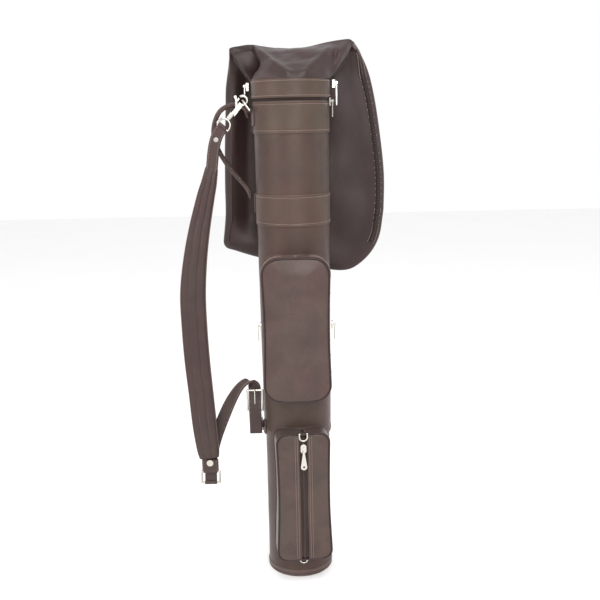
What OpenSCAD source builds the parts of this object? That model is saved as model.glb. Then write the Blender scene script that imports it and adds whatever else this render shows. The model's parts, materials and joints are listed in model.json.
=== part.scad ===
/* [Tube] */
// Outer radius of the lower leather tube
lower_r = 58; // [54:0.5:60]
// Height of the seam where the upper leather tube overlaps the lower one
yoke_z = 264; // [240:1:300]
// Outer radius of the upper leather tube at the seam
upper_r0 = 60.8; // [60.6:0.1:62]
// Outer radius of the upper leather tube at the rim
upper_r1 = 63.6; // [63:0.1:66]
// Height of the rim
rim_z = 848; // [820:1:880]
// Leather thickness of the tube
leather_t = 2.3; // [1.8:0.1:2.6]
// Wall of the stiff liner tube
liner_t = 1.8; // [1.4:0.1:2.4]

/* [Base] */
// Outer radius of the leather base cap
base_r = 59.6; // [59.4:0.1:62]
// Height of the base cap
base_h = 12.6; // [10:0.2:20]
// Radius of the rolled welt under the base cap
base_welt_r = 2.2; // [1.6:0.1:2.6]

/* [Bands] */
// Lower edge of the lower band
band_low_z = 642; // [620:1:660]
// Height of the lower band
band_low_h = 54; // [40:1:60]
// Lower edge of the upper band
band_up_z = 795; // [770:1:800]
// Leather thickness of the bands
band_t = 1.3; // [1:0.1:2]

/* [Hood] */
// Outer radius of the hood collar
collar_r = 66.6; // [66:0.1:68]
// Height of the hood collar
collar_h = 30; // [24:1:36]
// Depth of the fold axis behind the tube axis
fold_y = 52; // [46:1:58]
// Height of the fold axis
fold_z = 936; // [930:1:950]
// Radius of the folded crest
crest_r = 6; // [5:0.5:7]
// Half width of the folded crest
crest_w = 102; // [95:1:106]
// Thickness of the hood leather
hood_t = 2.4; // [2:0.1:3]

/* [Middle pocket] */
// Half width of the middle pocket
mid_w = 57.5; // [55:0.5:58]
// Lower edge of the middle pocket
mid_z0 = 346; // [330:1:360]
// Upper edge of the middle pocket
mid_z1 = 594; // [570:1:600]
// Distance from the tube axis to the front of the middle pocket
mid_y = 92; // [86:0.5:98]
// Corner radius of the middle pocket
mid_corner = 30; // [20:1:36]
// Turn of the middle pocket round the tube
mid_turn = 1.5; // [0:0.5:3]

/* [Lower pocket] */
// Half width of the lower pocket at the top
low_w1 = 46.5; // [42:0.5:50]
// Half width of the lower pocket at the bottom
low_w0 = 49; // [44:0.5:52]
// Lower edge of the lower pocket
low_z0 = 50; // [46:1:60]
// Upper edge of the lower pocket
low_z1 = 287; // [270:1:290]
// Distance from the tube axis to the front of the lower pocket
low_y = 90; // [84:0.5:96]
// Corner radius of the lower pocket
low_corner = 17; // [10:1:22]
// Turn of the lower pocket round the tube
low_turn = 6; // [0:0.5:8]

/* [Hardware] */
// Radius of the ring wire
wire_r = 1.8; // [1.4:0.1:2]
// Radius of the zip slider crossbars
bar_r = 1; // [0.8:0.1:1.2]
// Radial running clearance of the pulls on their crossbars
pull_fit = 0.06; // [0.02:0.01:0.1]
// Width of the zip teeth
teeth_w = 5; // [4:0.5:6]

/* [Handle and strap] */
// Radius of the rolled handle
handle_r = 4.6; // [4:0.1:5]
// Depth of the handle behind the tube axis
handle_y = 6; // [4:0.5:8]
// Depth of the strap in front of the tube axis
strap_y = 17.5; // [16:0.5:19]
// Thickness of the padded part of the strap
pad_t = 11; // [8:0.5:13]
// Thickness of the plain strap leather
strap_t = 3; // [2.4:0.1:3.6]
// Width of the plain strap
strap_w = 22; // [18:0.5:24]

/* [Hidden] */
$fn = 96;
gap = 0.05;
gap_move = 0.35;
in_r = lower_r - leather_t;
base_floor = 3;
board_z1 = 6.2;
board_r = 52.8;
liner_z0 = 6.3;
lower_z1 = yoke_z + 6;
shoulder_z = yoke_z + 11;
zip_h = 1.9;
zip_low_z = rim_z + 0.1;
zip_up_z = zip_low_z + zip_h + gap_move;
collar_z = zip_up_z + zip_h + gap;
collar_z1 = collar_z + collar_h;
hinge_y = collar_r + 0.8;
panel_t = 2.4;
pipe_t = 3;
tape_t = 1.2;
tape_w = 14;
neck_sides = 48;
gusset_t = 2.4;
tube_cut = 0.25;
low_slider_z = 262;
mid_slider_z = 478;
mid_zip_y = 75;
anchor_z = 282;
anchor_x = -63.9;
dring_x = -68.2;
dring_z = 834;
dring_tilt = 145;
dring_w = 22;
dring_d = 20;
hook_x = dring_x - dring_d * sin(dring_tilt);
hook_z = dring_z - dring_d * cos(dring_tilt);
hook_tilt = 40;
shank_len = 55;
stem_r = 1.5;
gate_x = -0.6;
gate_z = -16;
gate_pin = 1.2;
rivet_r = 2;
eye_x = hook_x - shank_len * sin(hook_tilt);
eye_z = hook_z - shank_len * cos(hook_tilt);
bail_tilt = atan((hook_x - anchor_x) / (hook_z - anchor_z));
lower_ring_w = 20;
lower_ring_h = 22;
link_x = -161;
link_z = 181;
link_w = 33;
link_h = 22;
loop_r = 3.4;
buckle_x = -75.5;
buckle_z = 326;
buckle_w = 27;
buckle_h = 38;
hood_pivot_x = 77.2;
hood_pivot_z1 = 877;
hood_pivot_z0 = 874;
rim_pivot_x = 72;
rim_pivot_z = rim_z - 1;
rim_slider_turn = -14;
mid_pivot_x = mid_w + 6.9;
low_pivot_y = low_y + 5.5;
low_ring_z = low_z1 + 2.2;
low_ring_y = low_y + 3.7;
base_ring_z = 42;
base_ring_y = lower_r + 4;
pocket_ring_w = 13.5;
pocket_ring_d = 12.5;
pocket_wire = 1.6;

// Outline of the hanging hood seen from the front, as [x, z]
hood_outline = [
    [-100, 934], [-108, 900], [-114, 840], [-119, 780], [-122, 720], [-124, 660],
    [-129, 604], [-124, 590], [-100, 580], [-60, 570], [0, 557], [50, 547], [90, 544],
    [118, 551], [140, 571], [157, 602], [165, 646], [166, 700], [160, 780],
    [148, 850], [134, 900], [104, 934]
];
// Near and far faces of the hanging hood seen from the side, as [y, z]
hood_near = [
    [60, 928], [66, 914], [70.5, 894], [72, 860], [73, 780], [74, 680], [76, 600], [80, 540]
];
hood_far = [
    [66, 930], [80, 922], [92, 900], [100, 860], [106, 780], [107, 680], [104, 600], [96, 540]
];
// Middle line of the rolled handle, as [x, z]
handle_pts = [
    [-72.1, 822], [-78, 838], [-90, 845], [-107, 842], [-122, 832], [-131, 812],
    [-132.5, 790], [-126, 770], [-112, 745], [-92, 720], [-78, 702], [-72.1, 686]
];
// Middle line and half width of the padded strap, as [x, z, half width]
pad_pts = [
    [-135.8, 741.4, 11], [-142, 714, 14], [-149, 689, 16], [-162, 634, 19], [-172, 578, 21.5],
    [-178, 521, 23.3], [-178, 462, 23.4], [-176, 403, 23.4], [-172, 343, 23],
    [-168, 282, 22.8], [-164, 236, 21], [-162, 216, 18]
];
// Middle line of the upper plain strap, as [x, z]
top_pts = [[-117, 805.6], [-124, 795], [-129.5, 780], [-133, 762], [-135.6, 742]];
// Middle line of the narrow strap with its width direction, as [x, y, z, wx, wy, wz]
narrow_pts = [
    [-161, -15.5, 171, 1, 0, 0], [-161, -12, 184, 1, 0, 0], [-161, -11, 200, 1, 0, 0],
    [-158, -9, 222, 1, 0.1, 0.1], [-149, -7, 254, 0.9, 0, -0.3], [-134, -7, 292, 0.8, -0.2, -0.5],
    [-119, -9, 324, 0.6, -0.5, -0.5], [-104, -12.5, 348, 0.4, -0.8, -0.4], [-91, -14.5, 360, 0.3, -1, -0.2],
    [-81, -12, 359, 0.7, -0.7, 0.3], [-76.5, -12, 350, 1, -0.05, 0], [-75.5, -13.6, 341, 1, 0, 0],
    [-75.5, -16.5, 331, 1, 0, 0], [-75.5, -20.8, 318, 1, 0, 0], [-75.5, -23.2, 307, 1, 0, 0],
    [-75.2, -23.5, 290, 1, 0, 0], [-75, -23.5, 266, 1, 0, 0]
];

function lerp(a, b, t) = a + (b - a) * t;
function shell_r(z) = lerp(upper_r0, upper_r1, (z - yoke_z) / (rim_z - yoke_z));
function unit(v) = v / norm(v);
function rail(pts, i) = pts[max(0, min(len(pts) - 1, i))];
function spline(pts, i, t) =
    0.5 * (2 * rail(pts, i) + (rail(pts, i + 1) - rail(pts, i - 1)) * t
    + (2 * rail(pts, i - 1) - 5 * rail(pts, i) + 4 * rail(pts, i + 1) - rail(pts, i + 2)) * t * t
    + (3 * rail(pts, i) - rail(pts, i - 1) - 3 * rail(pts, i + 1) + rail(pts, i + 2)) * t * t * t);
function smooth(pts, n) = concat(
    [for (i = [0:len(pts) - 2]) for (k = [0:n - 1]) spline(pts, i, k / n)],
    [pts[len(pts) - 1]]
);
function tangent(pts, i) = unit(rail(pts, i + 1) - rail(pts, i - 1));
function arc_pts(x, y, r, a0, a1, n) =
    [for (k = [0:n]) [x + r * cos(lerp(a0, a1, k / n)), y + r * sin(lerp(a0, a1, k / n))]];
function pocket_pts(w0, w1, z0, z1, r, inset) = concat(
    arc_pts(w1 - r, z1 - r, r - inset, 0, 90, 10),
    arc_pts(r - w1, z1 - r, r - inset, 90, 180, 10),
    arc_pts(r - w0, z0 + r, r - inset, 180, 270, 10),
    arc_pts(w0 - r, z0 + r, r - inset, 270, 360, 10)
);

// Solid through rings that turn anticlockwise about the way along them, capped or closed on itself
module loft(rings, closed = false) {
    n = len(rings[0]);
    m = len(rings);
    last = closed ? m - 1 : m - 2;
    sides = [
        for (i = [0:last]) for (j = [0:n - 1])
            let (a = i * n + j, b = i * n + (j + 1) % n)
            let (c = ((i + 1) % m) * n + (j + 1) % n, d = ((i + 1) % m) * n + j)
            each [[a, c, b], [a, d, c]]
    ];
    caps = closed ? [] : [[for (j = [0:n - 1]) j], [for (j = [n - 1:-1:0]) (m - 1) * n + j]];
    polyhedron(points = [for (r = rings) each r], faces = concat(sides, caps), convexity = 6);
}

// Ring of revolution from [radius, height] points
module turned(pts) {
    rotate_extrude() polygon(pts);
}

// Ring that follows the slope of the upper leather tube
module band(z0, z1, t) {
    turned([
        [shell_r(z0) + gap, z0], [shell_r(z0) + gap + t, z0],
        [shell_r(z1) + gap + t, z1], [shell_r(z1) + gap, z1]
    ]);
}

function round_ring(p, t, r, n) =
    let (a = unit(cross(t, [0, 1, 0])), b = cross(t, a))
    [for (k = [0:n - 1]) p + r * cos(360 * k / n) * a + r * sin(360 * k / n) * b];

// Sweep of a round section along points in space, with domed ends
module tube_along(pts, r, n) {
    last = len(pts) - 1;
    dome = [25, 50, 75];
    t0 = tangent(pts, 0);
    t1 = tangent(pts, last);
    loft(concat(
        [for (k = [2:-1:0]) round_ring(pts[0] - r * sin(dome[k]) * t0, t0, r * cos(dome[k]), n)],
        [for (i = [0:last]) round_ring(pts[i], tangent(pts, i), r, n)],
        [for (k = [0:2]) round_ring(pts[last] + r * sin(dome[k]) * t1, t1, r * cos(dome[k]), n)]
    ));
}

// Flat strip swept along rows of [x, y, z, wx, wy, wz] with a half width and a thickness
module strip_along(rows, half, t) {
    pts = [for (p = rows) [p[0], p[1], p[2]]];
    loft([
        for (i = [0:len(rows) - 1])
            let (tan = tangent(pts, i), w0 = [rows[i][3], rows[i][4], rows[i][5]])
            let (w = unit(w0 - (w0 * tan) * tan), h = cross(tan, w) * t / 2)
            [pts[i] - half * w - h, pts[i] + half * w - h, pts[i] + half * w + h, pts[i] - half * w + h]
    ]);
}

// Outline in x and z pushed out from near to far in front of the tube axis
module forward(near, far) {
    translate([0, -near, 0]) rotate([90, 0, 0]) linear_extrude(far - near) children();
}

// Profile in y and z pushed out to both sides along x
module sideways(half) {
    rotate([90, 0, 90]) linear_extrude(2 * half, center = true) children();
}

// Seam ring of a pocket between two insets of its outline
module pocket_ring(w0, w1, z0, z1, r, out_inset, in_inset, near, far) {
    forward(near, far) difference() {
        polygon(pocket_pts(w0, w1, z0, z1, r, out_inset));
        polygon(pocket_pts(w0, w1, z0, z1, r, in_inset));
    }
}

module tube_space(r) {
    translate([0, 0, -10]) cylinder(r = r, h = 1000);
}

module upper_space() {
    turned([
        [0, yoke_z - 20], [shell_r(yoke_z - 20) + tube_cut, yoke_z - 20],
        [shell_r(rim_z) + tube_cut, rim_z], [0, rim_z]
    ]);
}

// Slider: pivot at the origin, zip along z, outside towards -y
module slider_body(plate_w = 8.6, up = 6, down = 8, plate_t = 2.4) {
    plate_y = 2.6;
    post_x = 1.5;
    post_w = 1;
    translate([0, plate_y, 0]) rotate([-90, 0, 0]) linear_extrude(plate_t) union() {
        translate([0, plate_w / 2 - up]) circle(d = plate_w);
        translate([-plate_w / 2, plate_w / 2 - up]) square([plate_w, up + down - plate_w / 2 - 2]);
        translate([-plate_w / 2 + 1.4, down - 2.2]) square([plate_w - 2.8, 2.2]);
    }
    for (s = [-1, 1])
        translate([s * (post_x + post_w / 2) - post_w / 2, -bar_r, -1.6]) cube([post_w, plate_y + bar_r + 0.2, 3.2]);
    rotate([0, 90, 0]) cylinder(r = bar_r, h = 2 * post_x + post_w, center = true);
}

// Pull: pivot at the origin, hanging down along -z
module pull_tab(length, width, hole) {
    eye_r = 2.3;
    eye_w = 2;
    tab_t = 1.6;
    neck_w = 2.4;
    difference() {
        union() {
            rotate([0, 90, 0]) cylinder(r = eye_r, h = eye_w, center = true);
            translate([0, -tab_t / 2, 0]) rotate([-90, 0, 0]) linear_extrude(tab_t) union() {
                polygon([
                    [-eye_w / 2, 1], [eye_w / 2, 1], [neck_w / 2, 4], [width / 2, length - width / 2],
                    [-width / 2, length - width / 2], [-neck_w / 2, 4]
                ]);
                translate([0, length - width / 2]) circle(d = width);
            }
        }
        rotate([0, 90, 0]) cylinder(r = bar_r + pull_fit, h = eye_w + 2, center = true);
        translate([0, 0, width / 2 - length]) rotate([90, 0, 0]) cylinder(r = hole, h = 4, center = true);
    }
}

// Ring of wire shaped like a D: bar on the x axis, bow towards -z
module d_ring(width, depth, r) {
    half = width / 2;
    drop = depth - half;
    rotate([0, 90, 0]) cylinder(r = r, h = width, center = true);
    for (s = [-1, 1]) {
        translate([s * half, 0, 0]) sphere(r = r);
        translate([s * half, 0, -drop]) cylinder(r = r, h = drop);
    }
    translate([0, 0, -drop]) rotate([90, 0, 0]) rotate([0, 0, 180])
        rotate_extrude(angle = 180) translate([half, 0]) circle(r = r);
}

// Ring of wire with four straight sides in the x and z plane
module square_ring(width, height, r) {
    for (s = [-1, 1]) {
        translate([s * width / 2, 0, -height / 2]) cylinder(r = r, h = height);
        translate([-width / 2, 0, s * height / 2]) rotate([0, 90, 0]) cylinder(r = r, h = width);
        for (q = [-1, 1]) translate([s * width / 2, 0, q * height / 2]) sphere(r = r);
    }
}

module base_cap() {
    color("#3d2a26") turned([
        [0, 0], [base_r - 4.5, 0], [base_r - 4.5, 4.6], [base_r, 4.6], [base_r, base_h],
        [lower_r + gap, base_h], [lower_r + gap, board_z1], [board_r + 0.2, board_z1],
        [board_r + 0.2, base_floor], [0, base_floor]
    ]);
}

module base_welt() {
    color("#2c1d1a") rotate_extrude() translate([base_r - 2.1, base_welt_r]) circle(r = base_welt_r);
}

module base_board() {
    color("#7a6248") translate([0, 0, base_floor + gap]) cylinder(r = board_r, h = board_z1 - base_floor - gap);
}

module tube_liner() {
    o = in_r - gap;
    s = shell_r(shoulder_z) - leather_t - gap;
    t = shell_r(rim_z) - leather_t - gap;
    color("#1c1a1a") turned([
        [o - liner_t, liner_z0], [o, liner_z0], [o, lower_z1 + 1], [s, shoulder_z], [t, rim_z],
        [t - liner_t, rim_z], [s - liner_t, shoulder_z + 1], [o - liner_t, lower_z1 + 2]
    ]);
}

module lower_shell() {
    color("#56433f") turned([[in_r, liner_z0], [lower_r, liner_z0], [lower_r, lower_z1], [in_r, lower_z1]]);
}

module upper_shell() {
    color("#5b4742") turned([
        [upper_r0 - leather_t, yoke_z], [upper_r0, yoke_z], [upper_r1, rim_z], [upper_r1 - leather_t, rim_z]
    ]);
}

module band_lower() {
    color("#604a45") band(band_low_z, band_low_z + band_low_h, band_t);
}

module band_upper() {
    color("#604a45") band(band_up_z, rim_z - 0.5, band_t);
}

module rim_zip_lower() {
    color("#2a1d1b") turned([
        [upper_r1 - leather_t, zip_low_z], [upper_r1 + 0.6, zip_low_z],
        [upper_r1 + 0.6, zip_low_z + zip_h], [upper_r1 - leather_t, zip_low_z + zip_h]
    ]);
}

module rim_zip_upper() {
    color("#2a1d1b") turned([
        [upper_r1 - leather_t, zip_up_z], [upper_r1 + 0.6, zip_up_z],
        [upper_r1 + 0.6, zip_up_z + zip_h], [upper_r1 - leather_t, zip_up_z + zip_h]
    ]);
}

// Leather hinge flap sewn to the back of the upper band
module rim_hinge() {
    color("#4a3834") difference() {
        rotate([0, 0, 68]) rotate_extrude(angle = 44)
            translate([shell_r(rim_z) + band_t + 0.2, rim_z - 26]) square([1.4, 25]);
        translate([-50, hinge_y - 3, rim_z - 3]) cube([100, 10, 10]);
    }
}

module collar_ring() {
    color("#56433f") turned([
        [collar_r - hood_t, collar_z], [collar_r, collar_z],
        [collar_r, collar_z1], [collar_r - hood_t, collar_z1]
    ]);
}

// Oval ring of the neck: round at the collar (t = 0), narrow and leaning back at the crest (t = 1)
function neck_ring(t, inset) =
    let (foot_r = collar_r - 0.2, lean = 62 * pow(t, 1.5), step = 360 / neck_sides)
    let (c = [2 * t, (fold_y - 5) * t, collar_z1 + gap + (fold_z - 7 - collar_z1) * t])
    let (a = lerp(foot_r, crest_w, t) - inset)
    let (b = lerp(foot_r, crest_r - 0.8, pow(t, 0.72)) - inset * lerp(1, 0.9, t))
    [for (k = [0:neck_sides - 1])
        c + [a * cos(step * k), b * sin(step * k) * cos(lean), -b * sin(step * k) * sin(lean)]];

// Leather between the collar and the folded crest
module hood_neck() {
    color("#5b4742") loft(concat(
        [for (i = [0:6]) neck_ring(i / 6, 0)],
        [for (i = [6:-1:0]) neck_ring(i / 6, hood_t)]
    ), closed = true);
}

module hood_crest() {
    color("#5b4742") translate([2, fold_y, fold_z]) rotate([0, 90, 0])
        cylinder(r = crest_r, h = 2 * crest_w, center = true);
}

module hood_sheet(side, t) {
    n = len(side);
    intersection() {
        sideways(200) polygon(concat(
            side, [for (i = [n - 1:-1:0]) [side[i][0] + t, side[i][1]]]
        ));
        forward(-130, -40) polygon(hood_outline);
    }
}

module hood_inner_panel() {
    color("#463735") hood_sheet(hood_near, hood_t);
}

module hood_outer_panel() {
    color("#4e3e3a") hood_sheet([for (p = hood_far) [p[0] - hood_t, p[1]]], hood_t);
}

// Strip that joins the two hanging panels round their sides and bottom
module hood_gusset() {
    n = len(hood_near);
    inner = [for (p = hood_near) [p[0] + hood_t + gap, p[1]]];
    outer = [for (i = [n - 1:-1:0]) [hood_far[i][0] - hood_t - gap, hood_far[i][1]]];
    color("#3f312f") difference() {
        intersection() {
            sideways(200) polygon(concat(inner, outer));
            forward(-130, -40) polygon(hood_outline);
        }
        forward(-140, -30) offset(delta = -gusset_t) polygon(hood_outline);
        translate([-200, 40, 912]) cube([400, 90, 60]);
    }
}

// Zip tape along one side edge of the neck
module neck_zip(side) {
    proud = 1.3;
    foot = [side * (collar_r + proud), 0, collar_z1];
    head = [2 + side * (crest_w + proud), fold_y - 5, fold_z - 7];
    a = lerp(foot, head, 0.1);
    b = lerp(foot, head, 0.8);
    u = unit(head - foot);
    w = unit(cross(u, [side, 0, 0]));
    h = cross(w, u) * tape_t;
    loft([for (p = [a, b]) [p + 5 * w, p - 5 * w, p - 5 * w + h, p + 5 * w + h]]);
}

module hood_zip_right() {
    color("#241917") neck_zip(1);
}

module hood_zip_left() {
    color("#241917") neck_zip(-1);
}

// Side zip frame: pivot beside the tube, outside along x
module at_side(side, x, z) {
    translate([side * x, 0, z]) rotate([0, 0, side * 90]) children();
}

module hood_slider_right() {
    color("#c9c6c0") at_side(1, hood_pivot_x, hood_pivot_z1) slider_body(plate_t = 4.4);
}

module hood_slider_left() {
    color("#c9c6c0") at_side(-1, hood_pivot_x, hood_pivot_z0) slider_body(plate_t = 4.4);
}

module hood_pull_right() {
    color("#c9c6c0") at_side(1, hood_pivot_x, hood_pivot_z1) pull_tab(38, 4.6, 1);
}

module hood_pull_left() {
    color("#c9c6c0") at_side(-1, hood_pivot_x, hood_pivot_z0) pull_tab(16, 6.4, 1.1);
}

module rim_slider() {
    color("#c9c6c0") rotate([0, 0, rim_slider_turn]) at_side(1, rim_pivot_x, rim_pivot_z) slider_body();
}

module rim_pull() {
    color("#c9c6c0") rotate([0, 0, rim_slider_turn]) at_side(1, rim_pivot_x, rim_pivot_z) pull_tab(27, 4.6, 1);
}

module handle_grip() {
    pts = [for (p = smooth(handle_pts, 3)) [p[0], handle_y, p[1]]];
    color("#4a3632") tube_along(pts, handle_r, 12);
}

// Curved leather patch lying on the tube between two heights
module patch(r, t, z0, z1, mid, width) {
    turn = width / r * 180 / PI;
    rotate([0, 0, mid - turn / 2]) rotate_extrude(angle = turn) translate([r, z0]) square([t, z1 - z0]);
}

module handle_tabs() {
    up_r = shell_r(rim_z) + band_t + 2 * gap;
    low_r = shell_r(band_low_z + band_low_h) + band_t + 2 * gap;
    color("#4f3a35") {
        patch(up_r, 2.2, band_up_z + 2, band_up_z + 41, 174.8, 18);
        patch(low_r, 2.2, band_low_z + 19, band_low_z + band_low_h - 1, 174.6, 18);
    }
}

module strap_dring_upper() {
    color("#cfccc6") translate([dring_x, -strap_y, dring_z]) rotate([0, dring_tilt, 0]) rotate([0, 0, 90])
        d_ring(dring_w, dring_d, wire_r);
}

// Frame of the line that the strap swings about: origin at the lower ring, z towards the hook
module along_bail() {
    translate([anchor_x, -strap_y, anchor_z]) rotate([0, bail_tilt, 0]) children();
}

module strap_anchor_tabs() {
    up_r = shell_r(rim_z) + band_t + 2 * gap;
    low_r = shell_r(anchor_z + 7) + gap;
    tab_t = 2.2;
    loop_h = 12;
    color("#4f3a35") {
        difference() {
            union() {
                patch(up_r, tab_t, dring_z - 26, dring_z + 2.5, 194.6, loop_h);
                translate([dring_x, -strap_y, dring_z]) rotate([90, 0, 0])
                    cylinder(r = loop_r, h = loop_h, center = true);
            }
            translate([dring_x, -strap_y, dring_z]) rotate([90, 0, 0])
                cylinder(r = wire_r + pull_fit, h = 2 * loop_h, center = true);
        }
        difference() {
            union() {
                patch(low_r, tab_t, anchor_z - 19, anchor_z + 7, 196, 14);
                along_bail() cylinder(r = loop_r, h = loop_h, center = true);
            }
            along_bail() cylinder(r = wire_r + pull_fit, h = 3 * loop_h, center = true);
        }
    }
}

// Hook frame: origin at the ring wire, z away from the shank
module to_hook() {
    translate([hook_x, -strap_y, hook_z]) rotate([0, hook_tilt, 0]) children();
}

module hook_body() {
    bow_r = 7.2;
    bow_wire = 2.3;
    plate = 5.2;
    color("#d2cfc9") to_hook() {
        rotate([90, 0, 0]) rotate([0, 0, -60])
            rotate_extrude(angle = 225) translate([bow_r, 0]) circle(r = bow_wire);
        difference() {
            union() {
                translate([-2.2, -plate / 2, -29]) cube([7.6, plate, 23.4]);
                translate([0, 0, -38.6]) cylinder(r = 4.6, h = 11.6);
            }
            translate([0, 0, -41]) cylinder(r = stem_r + pull_fit, h = 9);
            translate([0, 0, -33.2]) cylinder(r = stem_r + 1.5, h = 5);
            translate([-2.3, -1.5, -20]) cube([3.9, 3, 14.5]);
        }
        translate([gate_x, 0, gate_z]) rotate([90, 0, 0]) cylinder(r = gate_pin, h = plate, center = true);
    }
}

// Sprung gate of the hook with its thumb lever
module hook_gate() {
    gate_t = 2.6;
    boss_t = 2.8;
    knob_t = 3.4;
    lever = [
        [gate_x + 1.2, gate_z + 1.4], [gate_x + 1.4, gate_z - 1.2], [gate_x - 1.2, gate_z - 1.6],
        [-8.4, -9.5], [-8.4, -8.9], [-14.6, -4.6], [-11.8, -2], [-8.5, -4.6],
        [-8.6, -1.2], [-5.6, -1.2], [-5.4, -8.2]
    ];
    color("#bdbab4") to_hook() rotate([90, 0, 0]) difference() {
        union() {
            translate([0, 0, -gate_t / 2]) linear_extrude(gate_t) polygon(lever);
            translate([gate_x, gate_z, 0]) cylinder(r = gate_pin + 0.8, h = boss_t, center = true);
            translate([-13.2, -3.2, 0]) cylinder(r = 2.3, h = knob_t, center = true);
        }
        translate([gate_x, gate_z, 0]) cylinder(r = gate_pin + pull_fit, h = 2 * boss_t, center = true);
    }
}

module swivel_eye() {
    eye_w = 22;
    color("#cbc8c2") to_hook() {
        translate([0, 0, -shank_len]) rotate([0, 180, 0]) d_ring(eye_w, 14, 1.7);
        translate([0, 0, -41.6]) cylinder(r = stem_r, h = 9);
        translate([0, 0, -32.9]) cylinder(r = stem_r + 1.1, h = 3.4);
    }
}

function flat_rows(pts) = [
    for (i = [0:len(pts) - 1])
        let (p = [pts[i][0], -strap_y, pts[i][1]])
        let (a = rail(pts, i - 1), b = rail(pts, i + 1), t = unit([b[0] - a[0], 0, b[1] - a[1]]))
        [p[0], p[1], p[2], -t[2], 0, t[0]]
];

module strap_top() {
    loop_w = 17;
    color("#4a3632") {
        difference() {
            to_hook() translate([0, 0, -shank_len]) rotate([0, 90, 0])
                cylinder(r = loop_r, h = loop_w, center = true);
            to_hook() translate([0, 0, -shank_len]) rotate([0, 90, 0])
                cylinder(r = 1.7 + gap, h = loop_w + 2, center = true);
        }
        difference() {
            strip_along(flat_rows(smooth(top_pts, 3)), strap_w / 2 - 1, 5);
            rivet_top() cylinder(r = rivet_r + gap, h = 20, center = true);
        }
    }
}

module rivet_top() {
    translate([-126.5, -strap_y, 787]) rotate([90, 0, 0]) children();
}

module rivet_end() {
    translate([-161, -strap_y, 209]) rotate([90, 0, 0]) children();
}

// Padded part of the strap
module strap_pad() {
    rows = smooth(pad_pts, 2);
    n = len(rows);
    color("#4a3835") loft([
        for (i = [0:n - 1])
            let (a = rail(rows, i - 1), b = rail(rows, i + 1), t = unit([b[0] - a[0], 0, b[1] - a[1]]))
            let (w = [-t[2], 0, t[0]], h = cross(t, w), s = min(i, n - 1 - i), k = min(1, 0.55 + 0.15 * s))
            let (c = [rows[i][0], -strap_y, rows[i][1]])
            [for (j = [0:15]) c + rows[i][2] * cos(22.5 * j) * w + k * pad_t / 2 * sin(22.5 * j) * h]
    ]);
}

module rivet(head, thick) {
    head_t = 1.5;
    cylinder(r = rivet_r, h = thick + head_t, center = true);
    for (s = [-1, 1])
        translate([0, 0, s * (thick + head_t) / 2]) cylinder(r = head, h = head_t, center = true);
}

module strap_rivets() {
    color("#c4c1bb") {
        rivet_top() rivet(4, 5 + 2 * gap);
        rivet_end() rivet(6, 6 + 2 * gap);
    }
}

module strap_end_tab() {
    tab_w = 30;
    tab_t = 6;
    tab_h = 22.3;
    color("#453430") difference() {
        union() {
            translate([link_x - tab_w / 2, -strap_y - tab_t / 2, link_z + link_h / 2]) cube([tab_w, tab_t, tab_h]);
            translate([link_x, -strap_y, link_z + link_h / 2]) rotate([0, 90, 0])
                cylinder(r = loop_r, h = tab_w - 4, center = true);
        }
        translate([link_x, -strap_y, link_z + link_h / 2]) rotate([0, 90, 0])
            cylinder(r = wire_r + gap, h = 40, center = true);
        rivet_end() cylinder(r = rivet_r + gap, h = 20, center = true);
    }
}

module strap_ring() {
    color("#bcb9b3") translate([link_x, -strap_y, link_z]) square_ring(link_w, link_h, wire_r);
}

module strap_narrow() {
    slot = [5, 16, 24];
    color("#4a3632") {
        difference() {
            strip_along([for (p = narrow_pts) p], strap_w / 2, strap_t);
            translate([buckle_x, -20, 321]) cube(slot, center = true);
            translate([link_x, -strap_y, link_z - link_h / 2]) rotate([0, 90, 0])
                cylinder(r = wire_r + gap, h = 40, center = true);
        }
        difference() {
            translate([link_x, -strap_y, link_z - link_h / 2]) rotate([0, 90, 0])
                cylinder(r = loop_r, h = strap_w, center = true);
            translate([link_x, -strap_y, link_z - link_h / 2]) rotate([0, 90, 0])
                cylinder(r = wire_r + gap, h = 40, center = true);
        }
    }
}

module buckle_frame() {
    color("#c4c1bb") translate([buckle_x, -strap_y, buckle_z]) square_ring(buckle_w, buckle_h, wire_r);
}

module buckle_prong() {
    lean = 4.9;
    color("#c9c6c0") translate([buckle_x, -strap_y, buckle_z - buckle_h / 2]) difference() {
        union() {
            rotate([0, 90, 0]) cylinder(r = loop_r - 0.2, h = 3.4, center = true);
            translate([0, -1.3, 0]) rotate([lean, 0, 0]) cylinder(r = 1.3, h = buckle_h + 2);
        }
        rotate([0, 90, 0]) cylinder(r = wire_r + pull_fit, h = 6, center = true);
    }
}

// Short strap folded round the lower ring and the buckle bar
module strap_stub() {
    low = [anchor_x - lower_ring_w / 2, -strap_y, anchor_z + lower_ring_h / 2];
    top = [buckle_x, -strap_y, buckle_z - buckle_h / 2];
    wide = 12;
    color("#4a3632") difference() {
        union() {
            translate(low) rotate([0, 90, 0]) cylinder(r = loop_r, h = wide, center = true);
            translate(top) rotate([0, 90, 0]) cylinder(r = loop_r, h = wide, center = true);
            translate([top[0] - wide / 2, -strap_y - loop_r, low[2]]) cube([wide, 2 * loop_r, top[2] - low[2]]);
        }
        along_bail() translate([-lower_ring_w / 2, 0, lower_ring_h / 2]) rotate([0, 90, 0])
            cylinder(r = wire_r + gap, h = 30, center = true);
        translate(top) rotate([0, 90, 0]) cylinder(r = wire_r + gap, h = 30, center = true);
        translate(top - [2.4, loop_r + 1, loop_r + 1]) cube([4.8, 2 * loop_r + 2, 2 * loop_r + 2]);
    }
}

module strap_ring_lower() {
    color("#bcb9b3") along_bail() translate([-lower_ring_w / 2, 0, 0])
        square_ring(lower_ring_w, lower_ring_h, wire_r);
}

module mid_pocket_wall() {
    color("#54413d") rotate([0, 0, mid_turn]) difference() {
        pocket_ring(mid_w, mid_w, mid_z0, mid_z1, mid_corner, 0, gusset_t, 18, mid_y - pipe_t - gap);
        upper_space();
    }
}

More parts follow.
